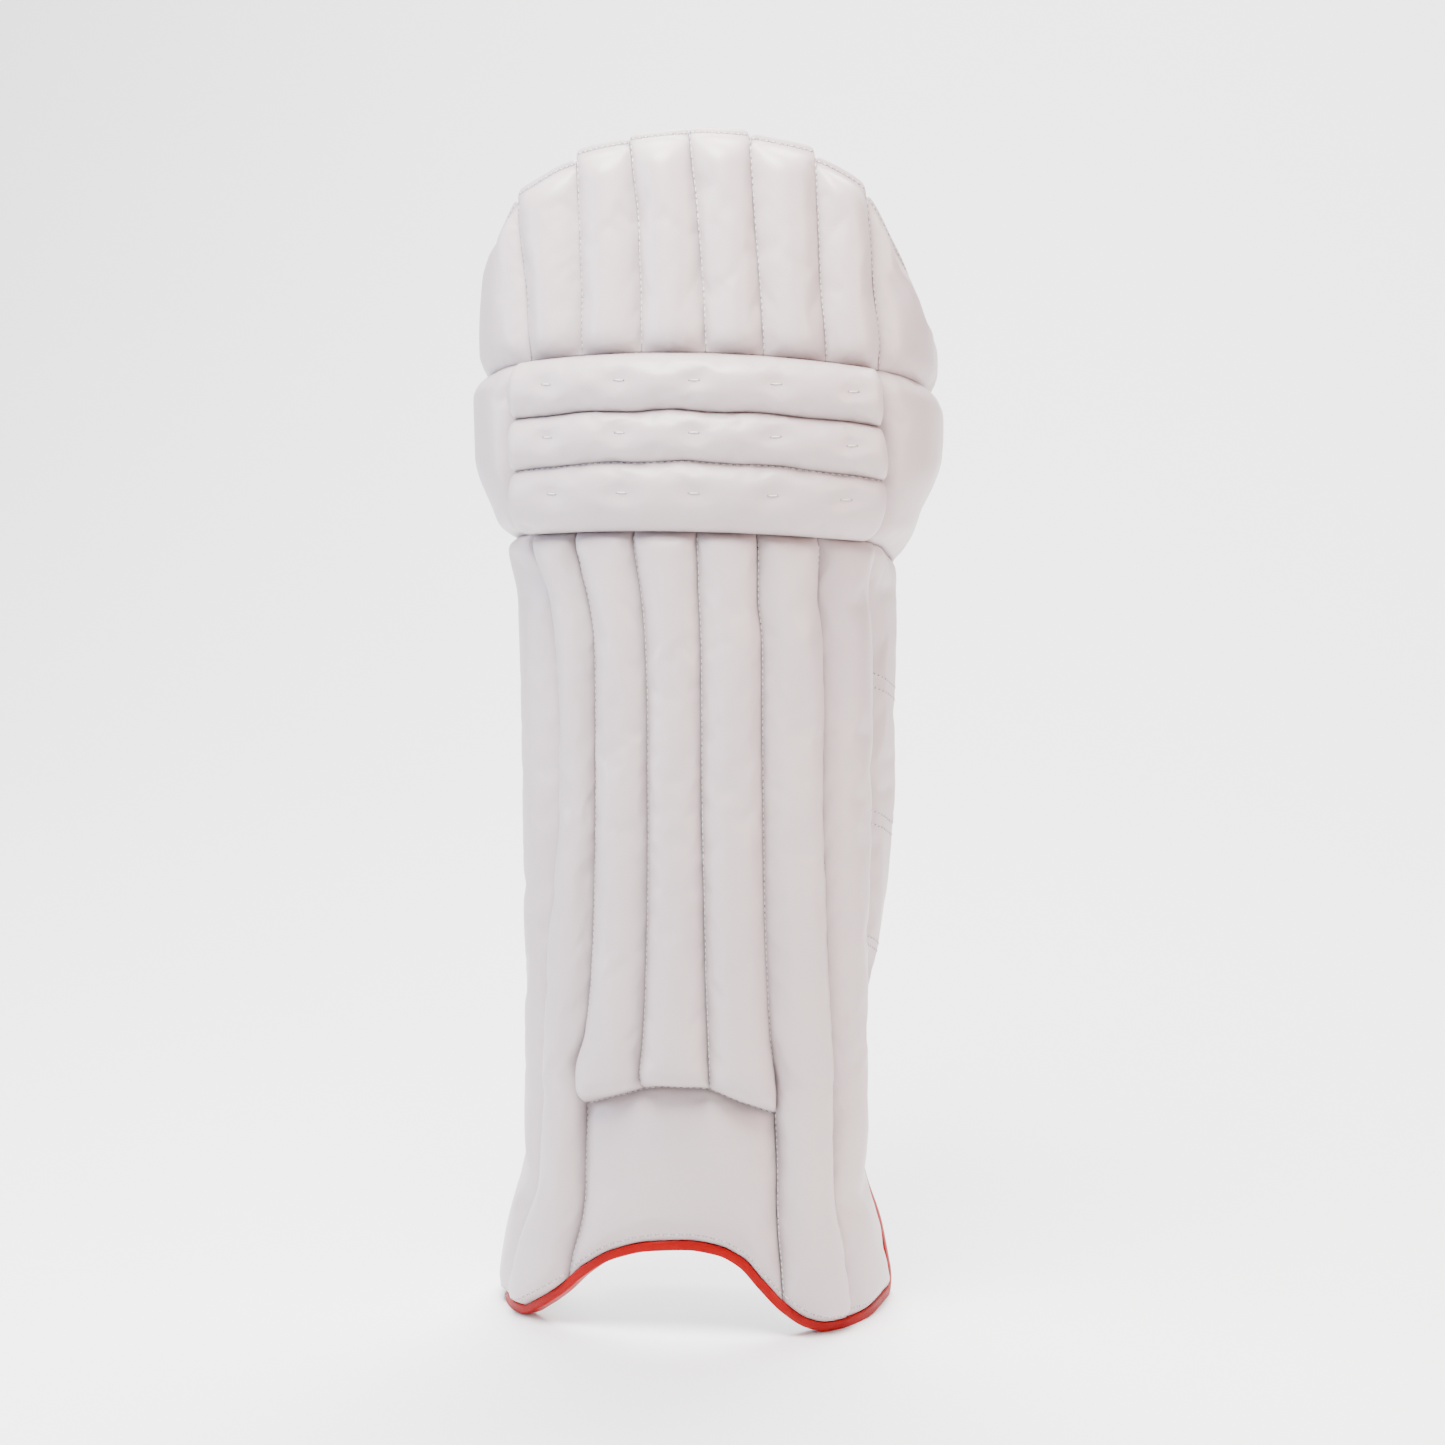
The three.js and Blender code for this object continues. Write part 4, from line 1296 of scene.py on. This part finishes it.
@dataclass
class InnerWall:
    """The plain cloth-covered wall that carries the padding, with a rolled hem."""

    columns: int = 120
    rows: int = 200
    hem: float = 0.003
    hem_share: float = 0.35
    below_rim: float = 0.004

    def build(self, material: bpy.types.Material) -> bpy.types.Object:
        """Makes the wall, which replaces its solid.

        Args:
            material: The piece's finish.

        Returns:
            The wall.
        """
        mesh, column, row, outer = block(self.columns, self.rows)
        borders = Borders(back_in, back_out, shell_bottom, lambda share: hat_edge(share) - self.below_rim)
        across, up = column / self.columns, row / self.rows
        share, z, low, high = borders.settle(across, up)
        edge = np.minimum(np.minimum(across, 1 - across) * borders.width(z), np.minimum(z - low, high - z))
        half = WALL_THICKNESS / 2 * mix(self.hem_share, 1, dome(edge, self.hem))
        depth = -WALL_GAP - WALL_THICKNESS / 2 + np.where(outer, half, -half)
        place(mesh, SHELL.above(share, z, depth))
        face_outwards(mesh)
        keep_places(mesh, "cloth", np.stack([share * SHELL.girth(z), z, np.zeros_like(z)], 1))
        piece = new_piece("wall_cover", mesh, material)
        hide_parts("back_wall")
        LOG.info("wall_cover: %d faces", len(mesh.polygons))
        return piece


class Side(Enum):
    """The two sides of the guard."""

    INNER = -1
    OUTER = 1


@dataclass
class EdgeBinding:
    """The red binding: down one back edge, under both lobes and the arch, and up the other."""

    climb_steps: int = 40
    turn_steps: int = 12
    under_steps: int = 220
    columns: int = 12
    swell: float = 0.0006
    lip_share: float = 0.84
    crown: float = 0.34
    crown_round: float = 0.002
    # How strongly the binding's proud face takes the darker colour of its finish.
    soil_and_shade: float = 0.4

    def rear(self, side: Side) -> list[tuple[float, float, float]]:
        """Route behind one lobe, from the top down: share, height and upright height.

        Args:
            side: The lobe's side.

        Returns:
            The route's points.
        """
        hand = side.value
        edge = back_in if side is Side.INNER else back_out
        off = BINDING_HEIGHT / 2 + BINDING_GAP
        base = BINDING_HEIGHT + BINDING_GAP
        corner = base + LOBE_CORNER
        route = []
        for step in range(self.climb_steps + 1):
            z = mix(BINDING_TOP, corner, step / self.climb_steps)
            route.append((float(edge(z)) + hand * off / float(SHELL.girth(z)), z, 0.0))
        for step in range(1, self.turn_steps + 1):
            angle = step / self.turn_steps * math.pi / 2
            inward = LOBE_CORNER - math.cos(angle) * (LOBE_CORNER + off)
            z = corner - math.sin(angle) * (LOBE_CORNER + off)
            route.append((float(edge(base)) - hand * inward / float(SHELL.girth(base)), z, 0.0))
        return route

    def route(self) -> Array:
        """The whole route from the inner side to the outer."""
        left, right = self.rear(Side.INNER), self.rear(Side.OUTER)
        shares = np.linspace(left[-1][0], right[-1][0], self.under_steps + 1)[1:-1]
        tall = binding_tall(shares)
        under = list(zip(shares, arch_edge(shares) + tall / 2, tall))
        return np.array([*left, *under, *right[::-1]], float)

    def build(self, material: bpy.types.Material) -> bpy.types.Object:
        """Makes the binding, which replaces its solid.

        Args:
            material: The piece's finish.

        Returns:
            The binding.
        """
        route = self.route()
        steps = len(route) - 1
        mesh, column, row, upper = block(self.columns, steps)
        before, after = route[np.clip(row - 1, 0, steps)], route[np.clip(row + 1, 0, steps)]
        here = route[row]
        girth = SHELL.girth(here[:, 1])
        run = np.stack([(after[:, 0] - before[:, 0]) * girth, after[:, 1] - before[:, 1]], 1)
        length = np.linalg.norm(run, axis=1)
        run /= length[:, None]
        inner, outer = -WALL_GAP - WALL_THICKNESS, EDGE_THICKNESS + BINDING_PROUD + self.swell
        across = grid_shares(self.columns, 0.9)[column]
        depth = mix(inner, outer, across)
        from_lip = np.minimum(across, 1 - across) * (outer - inner)
        nose = self.lip_share + self.crown * dome(from_lip, self.crown_round)
        thick = np.where(upper, 0.5, -0.5) * nose
        under = here[:, 2] > 0
        rise = np.where(under, thick * here[:, 2], thick * BINDING_HEIGHT * run[:, 0])
        slide = np.where(under, 0.0, -thick * BINDING_HEIGHT * run[:, 1] / girth)
        z = np.maximum(here[:, 1] + rise, 0)
        place(mesh, SHELL.above(here[:, 0] + slide, z, depth))
        face_outwards(mesh)
        lengths = np.hypot(np.diff(route[:, 0]) * SHELL.girth(route[1:, 1]), np.diff(route[:, 1]))
        along = np.concatenate([[0], np.cumsum(lengths)])
        keep_places(mesh, "cloth", np.stack([depth, along[row], thick * BINDING_HEIGHT], 1))
        keep_values(mesh, "seam", np.exp(-(outer - depth) / SEAM_REACH) * self.soil_and_shade)
        piece = new_piece("binding_strip", mesh, material)
        subdivide(piece, 1)
        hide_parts("edge_binding")
        LOG.info("binding_strip: %d faces", len(mesh.polygons))
        return piece


@dataclass
class Strap:
    """One webbing strap behind the leg: tabs on the inner face and a loop between them."""

    name: str
    columns: int = 24
    tab_steps: int = 14
    loop_steps: int = 110
    edge_share: float = 0.45
    edge_round: float = 0.0016

    @property
    def middle(self) -> float:
        """Height of the strap's middle."""
        zone, share, _ = STRAPS[self.name]
        return height_in(zone, share)

    def line(self, z: float) -> Array:
        """Middle line of the strap at a height, one point a row.

        Args:
            z: Height of the strap's middle.

        Returns:
            Points along the strap.
        """
        reach = STRAPS[self.name][2] * SHIN_WIDTH / LOOP_REACH
        depth = -(WALL_GAP + WALL_THICKNESS + STRAP_GAP + STRAP_THICKNESS / 2)
        tab = STRAP_TAB / float(SHELL.girth(z))
        left, right = float(back_in(z)), float(back_out(z))

        def run(shares: Array) -> Array:
            """Points of a tab."""
            return SHELL.above(shares, np.full(len(shares), z), np.full(len(shares), depth))

        first = run(np.linspace(left + tab, left, self.tab_steps + 1))
        last = run(np.linspace(right, right - tab, self.tab_steps + 1))
        start, end = first[-1], last[0]
        out = SHELL.on(np.array([right]), np.array([z]))[1][0]
        lead = start + (0, reach, 0)
        tail = end + np.array([-out[1], out[0], 0]) * reach
        t = np.linspace(0, 1, self.loop_steps + 1)[1:-1, None]
        loop = (1 - t) ** 3 * start + 3 * (1 - t) ** 2 * t * lead + 3 * (1 - t) * t * t * tail + t**3 * end
        return np.concatenate([first, loop, last])

    def build(self, material: bpy.types.Material) -> bpy.types.Object:
        """Makes the strap, which replaces its solid.

        Args:
            material: The piece's finish.

        Returns:
            The strap.
        """
        low, high = self.line(self.middle - STRAP_WIDTH / 2), self.line(self.middle + STRAP_WIDTH / 2)
        steps = len(low) - 1
        mesh, column, row, outer = block(self.columns, steps)
        up = (column / self.columns)[:, None]
        points = mix(low[row], high[row], up)
        run = np.gradient(mix(low, high, 0.5), axis=0)
        run /= np.linalg.norm(run, axis=1, keepdims=True)
        face = np.stack([run[:, 1], -run[:, 0], np.zeros(steps + 1)], 1)[row]
        edge = np.minimum(column, self.columns - column) / self.columns * STRAP_WIDTH
        half = STRAP_THICKNESS / 2 * mix(self.edge_share, 1, dome(edge, self.edge_round))
        place(mesh, points + face * np.where(outer, half, -half)[:, None])
        face_outwards(mesh)
        middle = mix(low, high, 0.5)
        along = np.concatenate([[0], np.cumsum(np.linalg.norm(np.diff(middle, axis=0), axis=1))])
        keep_places(mesh, "cloth", np.stack([up[:, 0] * STRAP_WIDTH, along[row], np.zeros(len(row))], 1))
        piece = new_piece(f"{self.name}_webbing", mesh, material)
        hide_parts(self.name)
        LOG.info("%s: %.0f mm long", self.name, along[-1] * 1000)
        return piece


BALL_SIDES = 6
BALL_RINGS = 4


def balls(name: str, places: Sequence[Matrix], material: bpy.types.Material) -> bpy.types.Object:
    """One small ball, repeated and set in place.

    Args:
        name: The piece's name.
        places: Turn, size and place of each ball.
        material: Its finish.

    Returns:
        The piece.
    """
    bm = bmesh.new()
    bmesh.ops.create_uvsphere(bm, u_segments=BALL_SIDES, v_segments=BALL_RINGS, radius=1)
    ball = bpy.data.meshes.new("ball")
    bm.to_mesh(ball)
    for _ in places[1:]:
        bm.from_mesh(ball)
    mesh = bpy.data.meshes.new(name)
    bm.to_mesh(mesh)
    bm.free()
    corners = np.column_stack([coordinates(ball), np.ones(len(ball.vertices))])
    turns = np.array([list(map(list, matrix)) for matrix in places])
    place(mesh, np.einsum("sij,cj->sci", turns, corners)[:, :, :3].reshape(-1, 3))
    mesh.shade_smooth()
    LOG.info("%s: %d", name, len(places))
    return new_piece(name, mesh, material)


class Sewing:
    """Rows of short stitches and dark discs of painted shade at their needle punctures, one mesh of each
    for a zone.
    """

    HOLE_SIZE = 1.5
    HOLE_DEPTH = 0.7
    RAY_START = 0.04
    RAY_LENGTH = 0.048

    def __init__(self, zone: str, pads: Sequence[bpy.types.Object]) -> None:
        """Starts a zone's stitches.

        Args:
            zone: The zone's name.
            pads: The pieces that the stitches lie on.
        """
        self.zone = zone
        self.places: list[Matrix] = []
        self.holes: list[Matrix] = []
        view = bpy.context.evaluated_depsgraph_get()
        self.trees = [BVHTree.FromObject(pad, view) for pad in pads]

    def surface(self, points: Array, out: Array) -> Array:
        """Moves points onto the pads, along their outward directions. A point over a gap is lost.

        Args:
            points: The points.
            out: Their outward directions.

        Returns:
            The points on the pads, NaN where one is lost.
        """
        found = np.full(points.shape, np.nan)
        for k, (point, way) in enumerate(zip(points, out)):
            best = math.inf
            start = Vector(point + way * self.RAY_START)
            for tree in self.trees:
                hit, _, _, distance = tree.ray_cast(start, -Vector(way), self.RAY_LENGTH)
                if hit is not None and distance < best:
                    best = distance
                    found[k] = hit
        return found

    def row(
        self,
        share: Array,
        z: Array,
        depth: float | None = None,
        pitch: float = 0.0036,
        length: float = 0.0024,
        radius: float = 0.0005,
    ) -> None:
        """Sews one row.

        Args:
            share: Shares of the half girth along the row.
            z: Heights along the row.
            depth: Depth over the seam surface, or None for a row that lies on the pads.
            pitch: Distance from stitch to stitch.
            length: Length of a stitch.
            radius: Half thickness of the thread.
        """
        line = SHELL.above(share, z, np.full(len(share), EDGE_THICKNESS))
        along = np.concatenate([[0], np.cumsum(np.linalg.norm(np.diff(line, axis=0), axis=1))])
        count = max(int(along[-1] / pitch), 1)
        places = (np.arange(count) + 0.5) / count * along[-1]
        ends = [places - length / 2, places + length / 2]
        starts, stops = (self.lay(along, share, z, at, depth) for at in ends)
        out = SHELL.on(np.interp(places, along, share), np.interp(places, along, z))[1]
        for first, last, way in zip(starts, stops, out):
            if not np.isnan(first + last).any():
                self.stitch(first, last, way, radius)

    def lay(self, along: Array, share: Array, z: Array, at: Array, depth: float | None) -> Array:
        """Points of a row at distances along it.

        Args:
            along: Distances along the row.
            share: Shares of the half girth there.
            z: Heights there.
            at: The distances to lay points at.
            depth: Depth over the seam surface, or None to lie on the pads.

        Returns:
            One point for each distance.
        """
        shares, heights = np.interp(at, along, share), np.interp(at, along, z)
        if depth is not None:
            return SHELL.above(shares, heights, np.full(len(at), depth))
        points, out = SHELL.on(shares, heights)
        return self.surface(points, out)

    def stitch(self, first: Array, last: Array, out: Array, radius: float) -> None:
        """Adds one stitch between two points.

        Args:
            first: One end.
            last: The other end.
            out: The outward direction.
            radius: Half thickness of the thread.
        """
        run = Vector(last - first)
        across = run.normalized().cross(Vector(out)).normalized()
        up = across.cross(run.normalized())
        turn = Matrix((run.normalized(), across, up)).transposed().to_4x4()
        size = Matrix.Diagonal((run.length / 2 + radius, radius, radius, 1))
        self.places.append(Matrix.Translation(Vector((first + last) / 2)) @ turn @ size)
        # Dark discs at both ends of a stitch are painted shade in the needle punctures.
        wide = radius * self.HOLE_SIZE
        hole = Matrix.Diagonal((wide, wide, radius * self.HOLE_DEPTH, 1))
        for end in (first, last):
            self.holes.append(Matrix.Translation(Vector(end)) @ turn @ hole)

    def finish(self, thread: bpy.types.Material, hole: bpy.types.Material, slot: str) -> None:
        """Makes the stitches and the painted shade of their needle punctures two pieces."""
        balls(f"{self.zone}_stitches", self.places, thread)
        balls(f"{self.zone}_needle_holes", self.holes, hole)


@dataclass(frozen=True)
class Lamp:
    """A square soft light: name, place, width, power in watts and colour."""

    name: str
    place: tuple[float, float, float]
    size: float
    power: float
    color: tuple[float, float, float]

    def build(self, target: Vector) -> None:
        """Makes the light and turns it to its target.

        Args:
            target: The point that it faces.
        """
        data = bpy.data.lights.new(self.name, "AREA")
        data.size = self.size
        data.energy = self.power
        data.color = self.color
        lamp = bpy.data.objects.new(self.name, data)
        lamp.location = self.place
        lamp.rotation_euler = (target - Vector(self.place)).to_track_quat("-Z", "Y").to_euler()
        bpy.context.scene.collection.objects.link(lamp)


LAMPS = (
    Lamp("key", (-0.1, -0.5, 1.3), size=0.6, power=52, color=(1.0, 0.955, 0.94)),
    Lamp("cool_side", (-1.5, -0.45, 0.6), size=0.7, power=23, color=(0.64, 0.76, 1.0)),
    Lamp("warm_side", (1.5, -0.6, 0.7), size=0.7, power=23, color=(1.0, 0.7, 0.62)),
    Lamp("backdrop", (0.0, 1.7, 3.0), size=2.4, power=430, color=(1.0, 1.0, 1.0)),
)


@dataclass
class Studio:
    """Pale floor that curves up behind, soft lights and the camera."""

    camera_place: Vector = field(default_factory=lambda: Vector((0.366, -2.233, 0.690)))
    camera_target: Vector = field(default_factory=lambda: Vector((0.014, -0.011, 0.352)))
    lens: float = 97.81
    sensor: float = 36.0
    floor_half: float = 4.0
    bend_start: float = 1.4
    bend_radius: float = 1.6
    floor_columns: int = 8
    floor_rows: int = 120
    ambient: float = 0.21

    def build(self, floor_finish: bpy.types.Material) -> None:
        """Makes the floor, the lights and the camera."""
        self.floor(floor_finish)
        for lamp in LAMPS:
            lamp.build(self.camera_target)
        self.world()
        self.camera()

    def world(self) -> None:
        """An even white glow from all sides."""
        world = bpy.data.worlds.new("studio")
        world.use_nodes = True
        background = world.node_tree.nodes["Background"]
        background.inputs["Color"].default_value = (1.0, 1.0, 1.0, 1.0)
        background.inputs["Strength"].default_value = self.ambient
        bpy.context.scene.world = world

    def camera(self) -> None:
        """The camera at the photograph's place."""
        data = bpy.data.cameras.new("camera")
        data.lens = self.lens
        data.sensor_width = self.sensor
        camera = bpy.data.objects.new("camera", data)
        camera.location = self.camera_place
        camera.rotation_euler = (self.camera_target - self.camera_place).to_track_quat("-Z", "Y").to_euler()
        bpy.context.scene.collection.objects.link(camera)
        bpy.context.scene.camera = camera

    def floor(self, finish: bpy.types.Material) -> None:
        """A sheet that lies flat under the guard and curves up behind it.

        Args:
            finish: The floor's finish.
        """
        bm = bmesh.new()
        bmesh.ops.create_grid(
            bm, x_segments=self.floor_columns, y_segments=self.floor_rows, size=self.floor_half
        )
        for vertex in bm.verts:
            past = vertex.co.y - self.bend_start
            if past > 0:
                angle = min(past / self.bend_radius, math.pi / 2)
                rest = past - angle * self.bend_radius
                vertex.co.y = self.bend_start + self.bend_radius * math.sin(angle)
                vertex.co.z = self.bend_radius * (1 - math.cos(angle)) + rest
        mesh = bpy.data.meshes.new("floor")
        bm.to_mesh(mesh)
        bm.free()
        mesh.shade_smooth()
        mesh.materials.append(finish)
        floor = bpy.data.objects.new("floor", mesh)
        bpy.context.scene.collection.objects.link(floor)


WHITE = CoatedLeather(
    "white_leather",
    color=(0.5, 0.43, 0.43, 1),
    shade=(0.47, 0.4, 0.412, 1),
    # Colour close to the seams: partly dirt, partly painted shade.
    soil_and_shade=(0.26, 0.22, 0.215, 1),
    roughness=0.42,
    coat=0.12,
)
RED = CoatedLeather(
    "red_leather",
    color=(0.27, 0.0, 0.0003, 1),
    shade=(0.23, 0.0, 0.0003, 1),
    soil_and_shade=(0.1, 0.0, 0.0003, 1),
    roughness=0.44,
    coat=0.0,
    gloss=0.12,
)
LINING = WovenCloth(
    "lining_cloth",
    color=(0.52, 0.51, 0.53, 1),
    shade=(0.46, 0.45, 0.475, 1),
    weave=Weave.PLAIN,
    pitch=0.0008,
    height=0.00012,
)
WEBBING = WovenCloth(
    "webbing",
    color=(0.5, 0.49, 0.51, 1),
    shade=(0.45, 0.44, 0.46, 1),
    weave=Weave.TWILL,
    pitch=0.0024,
    height=0.0005,
    selvage=0.0165,
)
THREAD = Thread("white_thread", (0.62, 0.59, 0.59, 1))
# Near black discs at the stitch ends: painted shade in the needle punctures.
HOLE_SHADE = Thread("needle_hole", (0.09, 0.075, 0.075, 1))
FLOOR = Floor("studio_floor", (0.92, 0.92, 0.92, 1))


CHEVRON_HIGH = ((0.906, 0.3886), (1.381, 0.3658), (1.522, 0.3802))
CHEVRON_LOW = ((0.91, 0.3798), (1.387, 0.3585), (1.53, 0.3711))
SLANT = ((1.024, 0.229), (1.338, 0.2127))
CALF_LINES = (
    (CHEVRON_HIGH, 0.0),
    (CHEVRON_LOW, 0.0),
    (CHEVRON_HIGH, 0.08),
    (CHEVRON_LOW, 0.08),
    (SLANT, 0.0),
    (SLANT, 0.005),
)


@dataclass
class Needlework:
    """Every seam that shows, sewn zone by zone on the pieces that are made."""

    made: dict[type, list[bpy.types.Object]]
    wall: bpy.types.Object
    thread: bpy.types.Material
    hole: bpy.types.Material
    row_step: float = 0.003
    beside_seam: float = 0.0004
    seam_margin: float = 0.002
    below_crease: float = 0.03
    rim_inset: float = 0.0026
    rim_pitch: float = 0.0034
    rim_length: float = 0.002
    knee_span: tuple[float, float] = (-0.57, 0.64)
    knee_steps: int = 300
    tack_half: float = 0.0032
    tack_pitch: float = 0.0064
    tack_length: float = 0.005
    instep_level: float = 0.13
    instep_inset: float = 0.01
    instep_steps: int = 200
    foot_half: float = 1.1
    foot_steps: int = 500
    foot_inset: float = 0.0045
    foot_pitch: float = 0.0045
    calf_steps: int = 60
    calf_radius: float = 0.00045
    hem_bottom: float = 0.02
    hem_inset: float = 0.006
    hem_pitch: float = 0.005
    hem_length: float = 0.0035

    def sew(self) -> None:
        """Sews all zones."""
        shin = self.made[Shin] + self.made[Instep]
        calf = [piece for piece in shin if piece.name.startswith("calf")]
        self.zone("hat", self.made[TopHat], self.hat)
        self.zone("knee", self.made[Knee], self.knee)
        self.zone("shin", shin, self.shin)
        self.zone("foot", shin, self.foot)
        self.zone("calf", calf, self.calf)
        self.zone("hem", [self.wall], self.hem, slot="inner_wall")

    def zone(
        self,
        name: str,
        pieces: Sequence[bpy.types.Object],
        rows: Callable[[Sewing], None],
        slot: str = "padded_face",
    ) -> None:
        """Sews one zone.

        Args:
            name: The zone's name.
            pieces: The pieces that its stitches lie on.
            rows: Sews the zone's rows.
            slot: Passed on to the stitches, which do not use it.
        """
        stitches = Sewing(name, pieces)
        rows(stitches)
        stitches.finish(self.thread, self.hole, slot)

    def between(self, first: float, last: float) -> Array:
        """Evenly spaced heights from first to last."""
        return np.linspace(first, last, max(int(abs(last - first) / self.row_step), 2))

    def upright(
        self, stitches: Sewing, seam: Curve, low: float, high: float, floor: Curve, ceiling: Curve
    ) -> None:
        """Sews an upright seam between two borders.

        Args:
            stitches: The zone's stitches.
            seam: Share of the half girth at a height.
            low: Lowest height.
            high: Highest height.
            floor: Low border at a share.
            ceiling: High border at a share.
        """
        z = self.between(low, high)
        share = seam(z)
        inside = (z > floor(share) + self.seam_margin) & (z < ceiling(share) - self.seam_margin)
        share = share + self.beside_seam / SHELL.girth(z)
        stitches.row(share[inside], z[inside])

    def hat(self, stitches: Sewing) -> None:
        """Seams between the rolls of the top hat, and its rim."""
        for number in range(1, 8):
            low = KNEE_TOP - self.below_crease
            self.upright(stitches, hat_seam(number), low, GUARD_HEIGHT, knee_level(3), hat_edge)
        for share, high in TopHat().rims():
            stitches.row(share, high - self.rim_inset, pitch=self.rim_pitch, length=self.rim_length)

    def knee(self, stitches: Sewing) -> None:
        """Seams of the knee's wings, its lowest crease and the tacks of its rolls.

        Args:
            stitches: The zone's stitches.
        """
        for end in (knee_end_in, knee_end_out):
            low = SHIN_TOP - self.below_crease
            self.upright(stitches, end, low, KNEE_TOP, knee_level(0), knee_level(3))
        share = np.linspace(*self.knee_span, self.knee_steps)
        stitches.row(share, knee_level(1)(share) - self.beside_seam)
        for number in range(3):
            for tack_share, tack_z in Knee().tacks(number):
                across = self.tack_half / float(SHELL.girth(tack_z))
                share = np.array([tack_share - across, tack_share + across])
                stitches.row(share, np.full(2, tack_z), pitch=self.tack_pitch, length=self.tack_length)

    def shin(self, stitches: Sewing) -> None:
        """Seams between the rolls of the shin, and the instep's arch.

        Args:
            stitches: The zone's stitches.
        """
        for number in range(1, 8):
            low = CALF_WING_LOW if number == 7 else 0.0
            floor = instep_edge if number in (3, 4) else shell_bottom
            self.upright(stitches, shin_seam(number), low, SHIN_TOP, floor, knee_level(0))
        first, last = (float(shin_seam(number)(self.instep_level)) for number in (2, 5))
        share = np.linspace(first + self.instep_inset, last - self.instep_inset, self.instep_steps)
        stitches.row(share, instep_edge(share) - self.beside_seam)

    def foot(self, stitches: Sewing) -> None:
        """The row along the foot edge."""
        share = np.linspace(-self.foot_half, self.foot_half, self.foot_steps)
        stitches.row(share, shell_bottom(share) + self.foot_inset, pitch=self.foot_pitch)

    def calf(self, stitches: Sewing) -> None:
        """The chevrons and slanted lines of the calf wing.

        Args:
            stitches: The zone's stitches.
        """
        for line, drop in CALF_LINES:
            share, z = np.array(line).T
            way = np.linspace(0, 1, self.calf_steps) * (len(line) - 1)
            at = np.arange(len(line))
            high = np.interp(way, at, z) - drop
            stitches.row(np.interp(way, at, share), high, radius=self.calf_radius)

    def hem(self, stitches: Sewing) -> None:
        """The hem of the inner wall, along both of its upright edges."""
        for edge, hand in ((back_in, 1), (back_out, -1)):
            z = self.between(self.hem_bottom, KNEE_TOP - self.below_crease)
            share = edge(z) + hand * self.hem_inset / SHELL.girth(z)
            depth = -WALL_GAP - WALL_THICKNESS
            stitches.row(share, z, depth, pitch=self.hem_pitch, length=self.hem_length)


def main() -> None:
    """Builds the guard piece by piece."""
    logging.basicConfig(level=logging.INFO, format="%(message)s")
    Studio().build(FLOOR.material())
    white, red, thread, hole = WHITE.material(), RED.material(), THREAD.material(), HOLE_SHADE.material()
    lining, webbing = LINING.material(), WEBBING.material()
    made = {}
    for part in (TopHat(), Knee(), Shin(), Instep()):
        made[type(part)] = [pad.build(white, "padded_face") for pad in part.pads()]
    wall = InnerWall().build(lining)
    EdgeBinding().build(red)
    for name in STRAPS:
        Strap(name).build(webbing)
    Needlework(made, wall, thread, hole).sew()


if __name__ == "__main__":
    main()
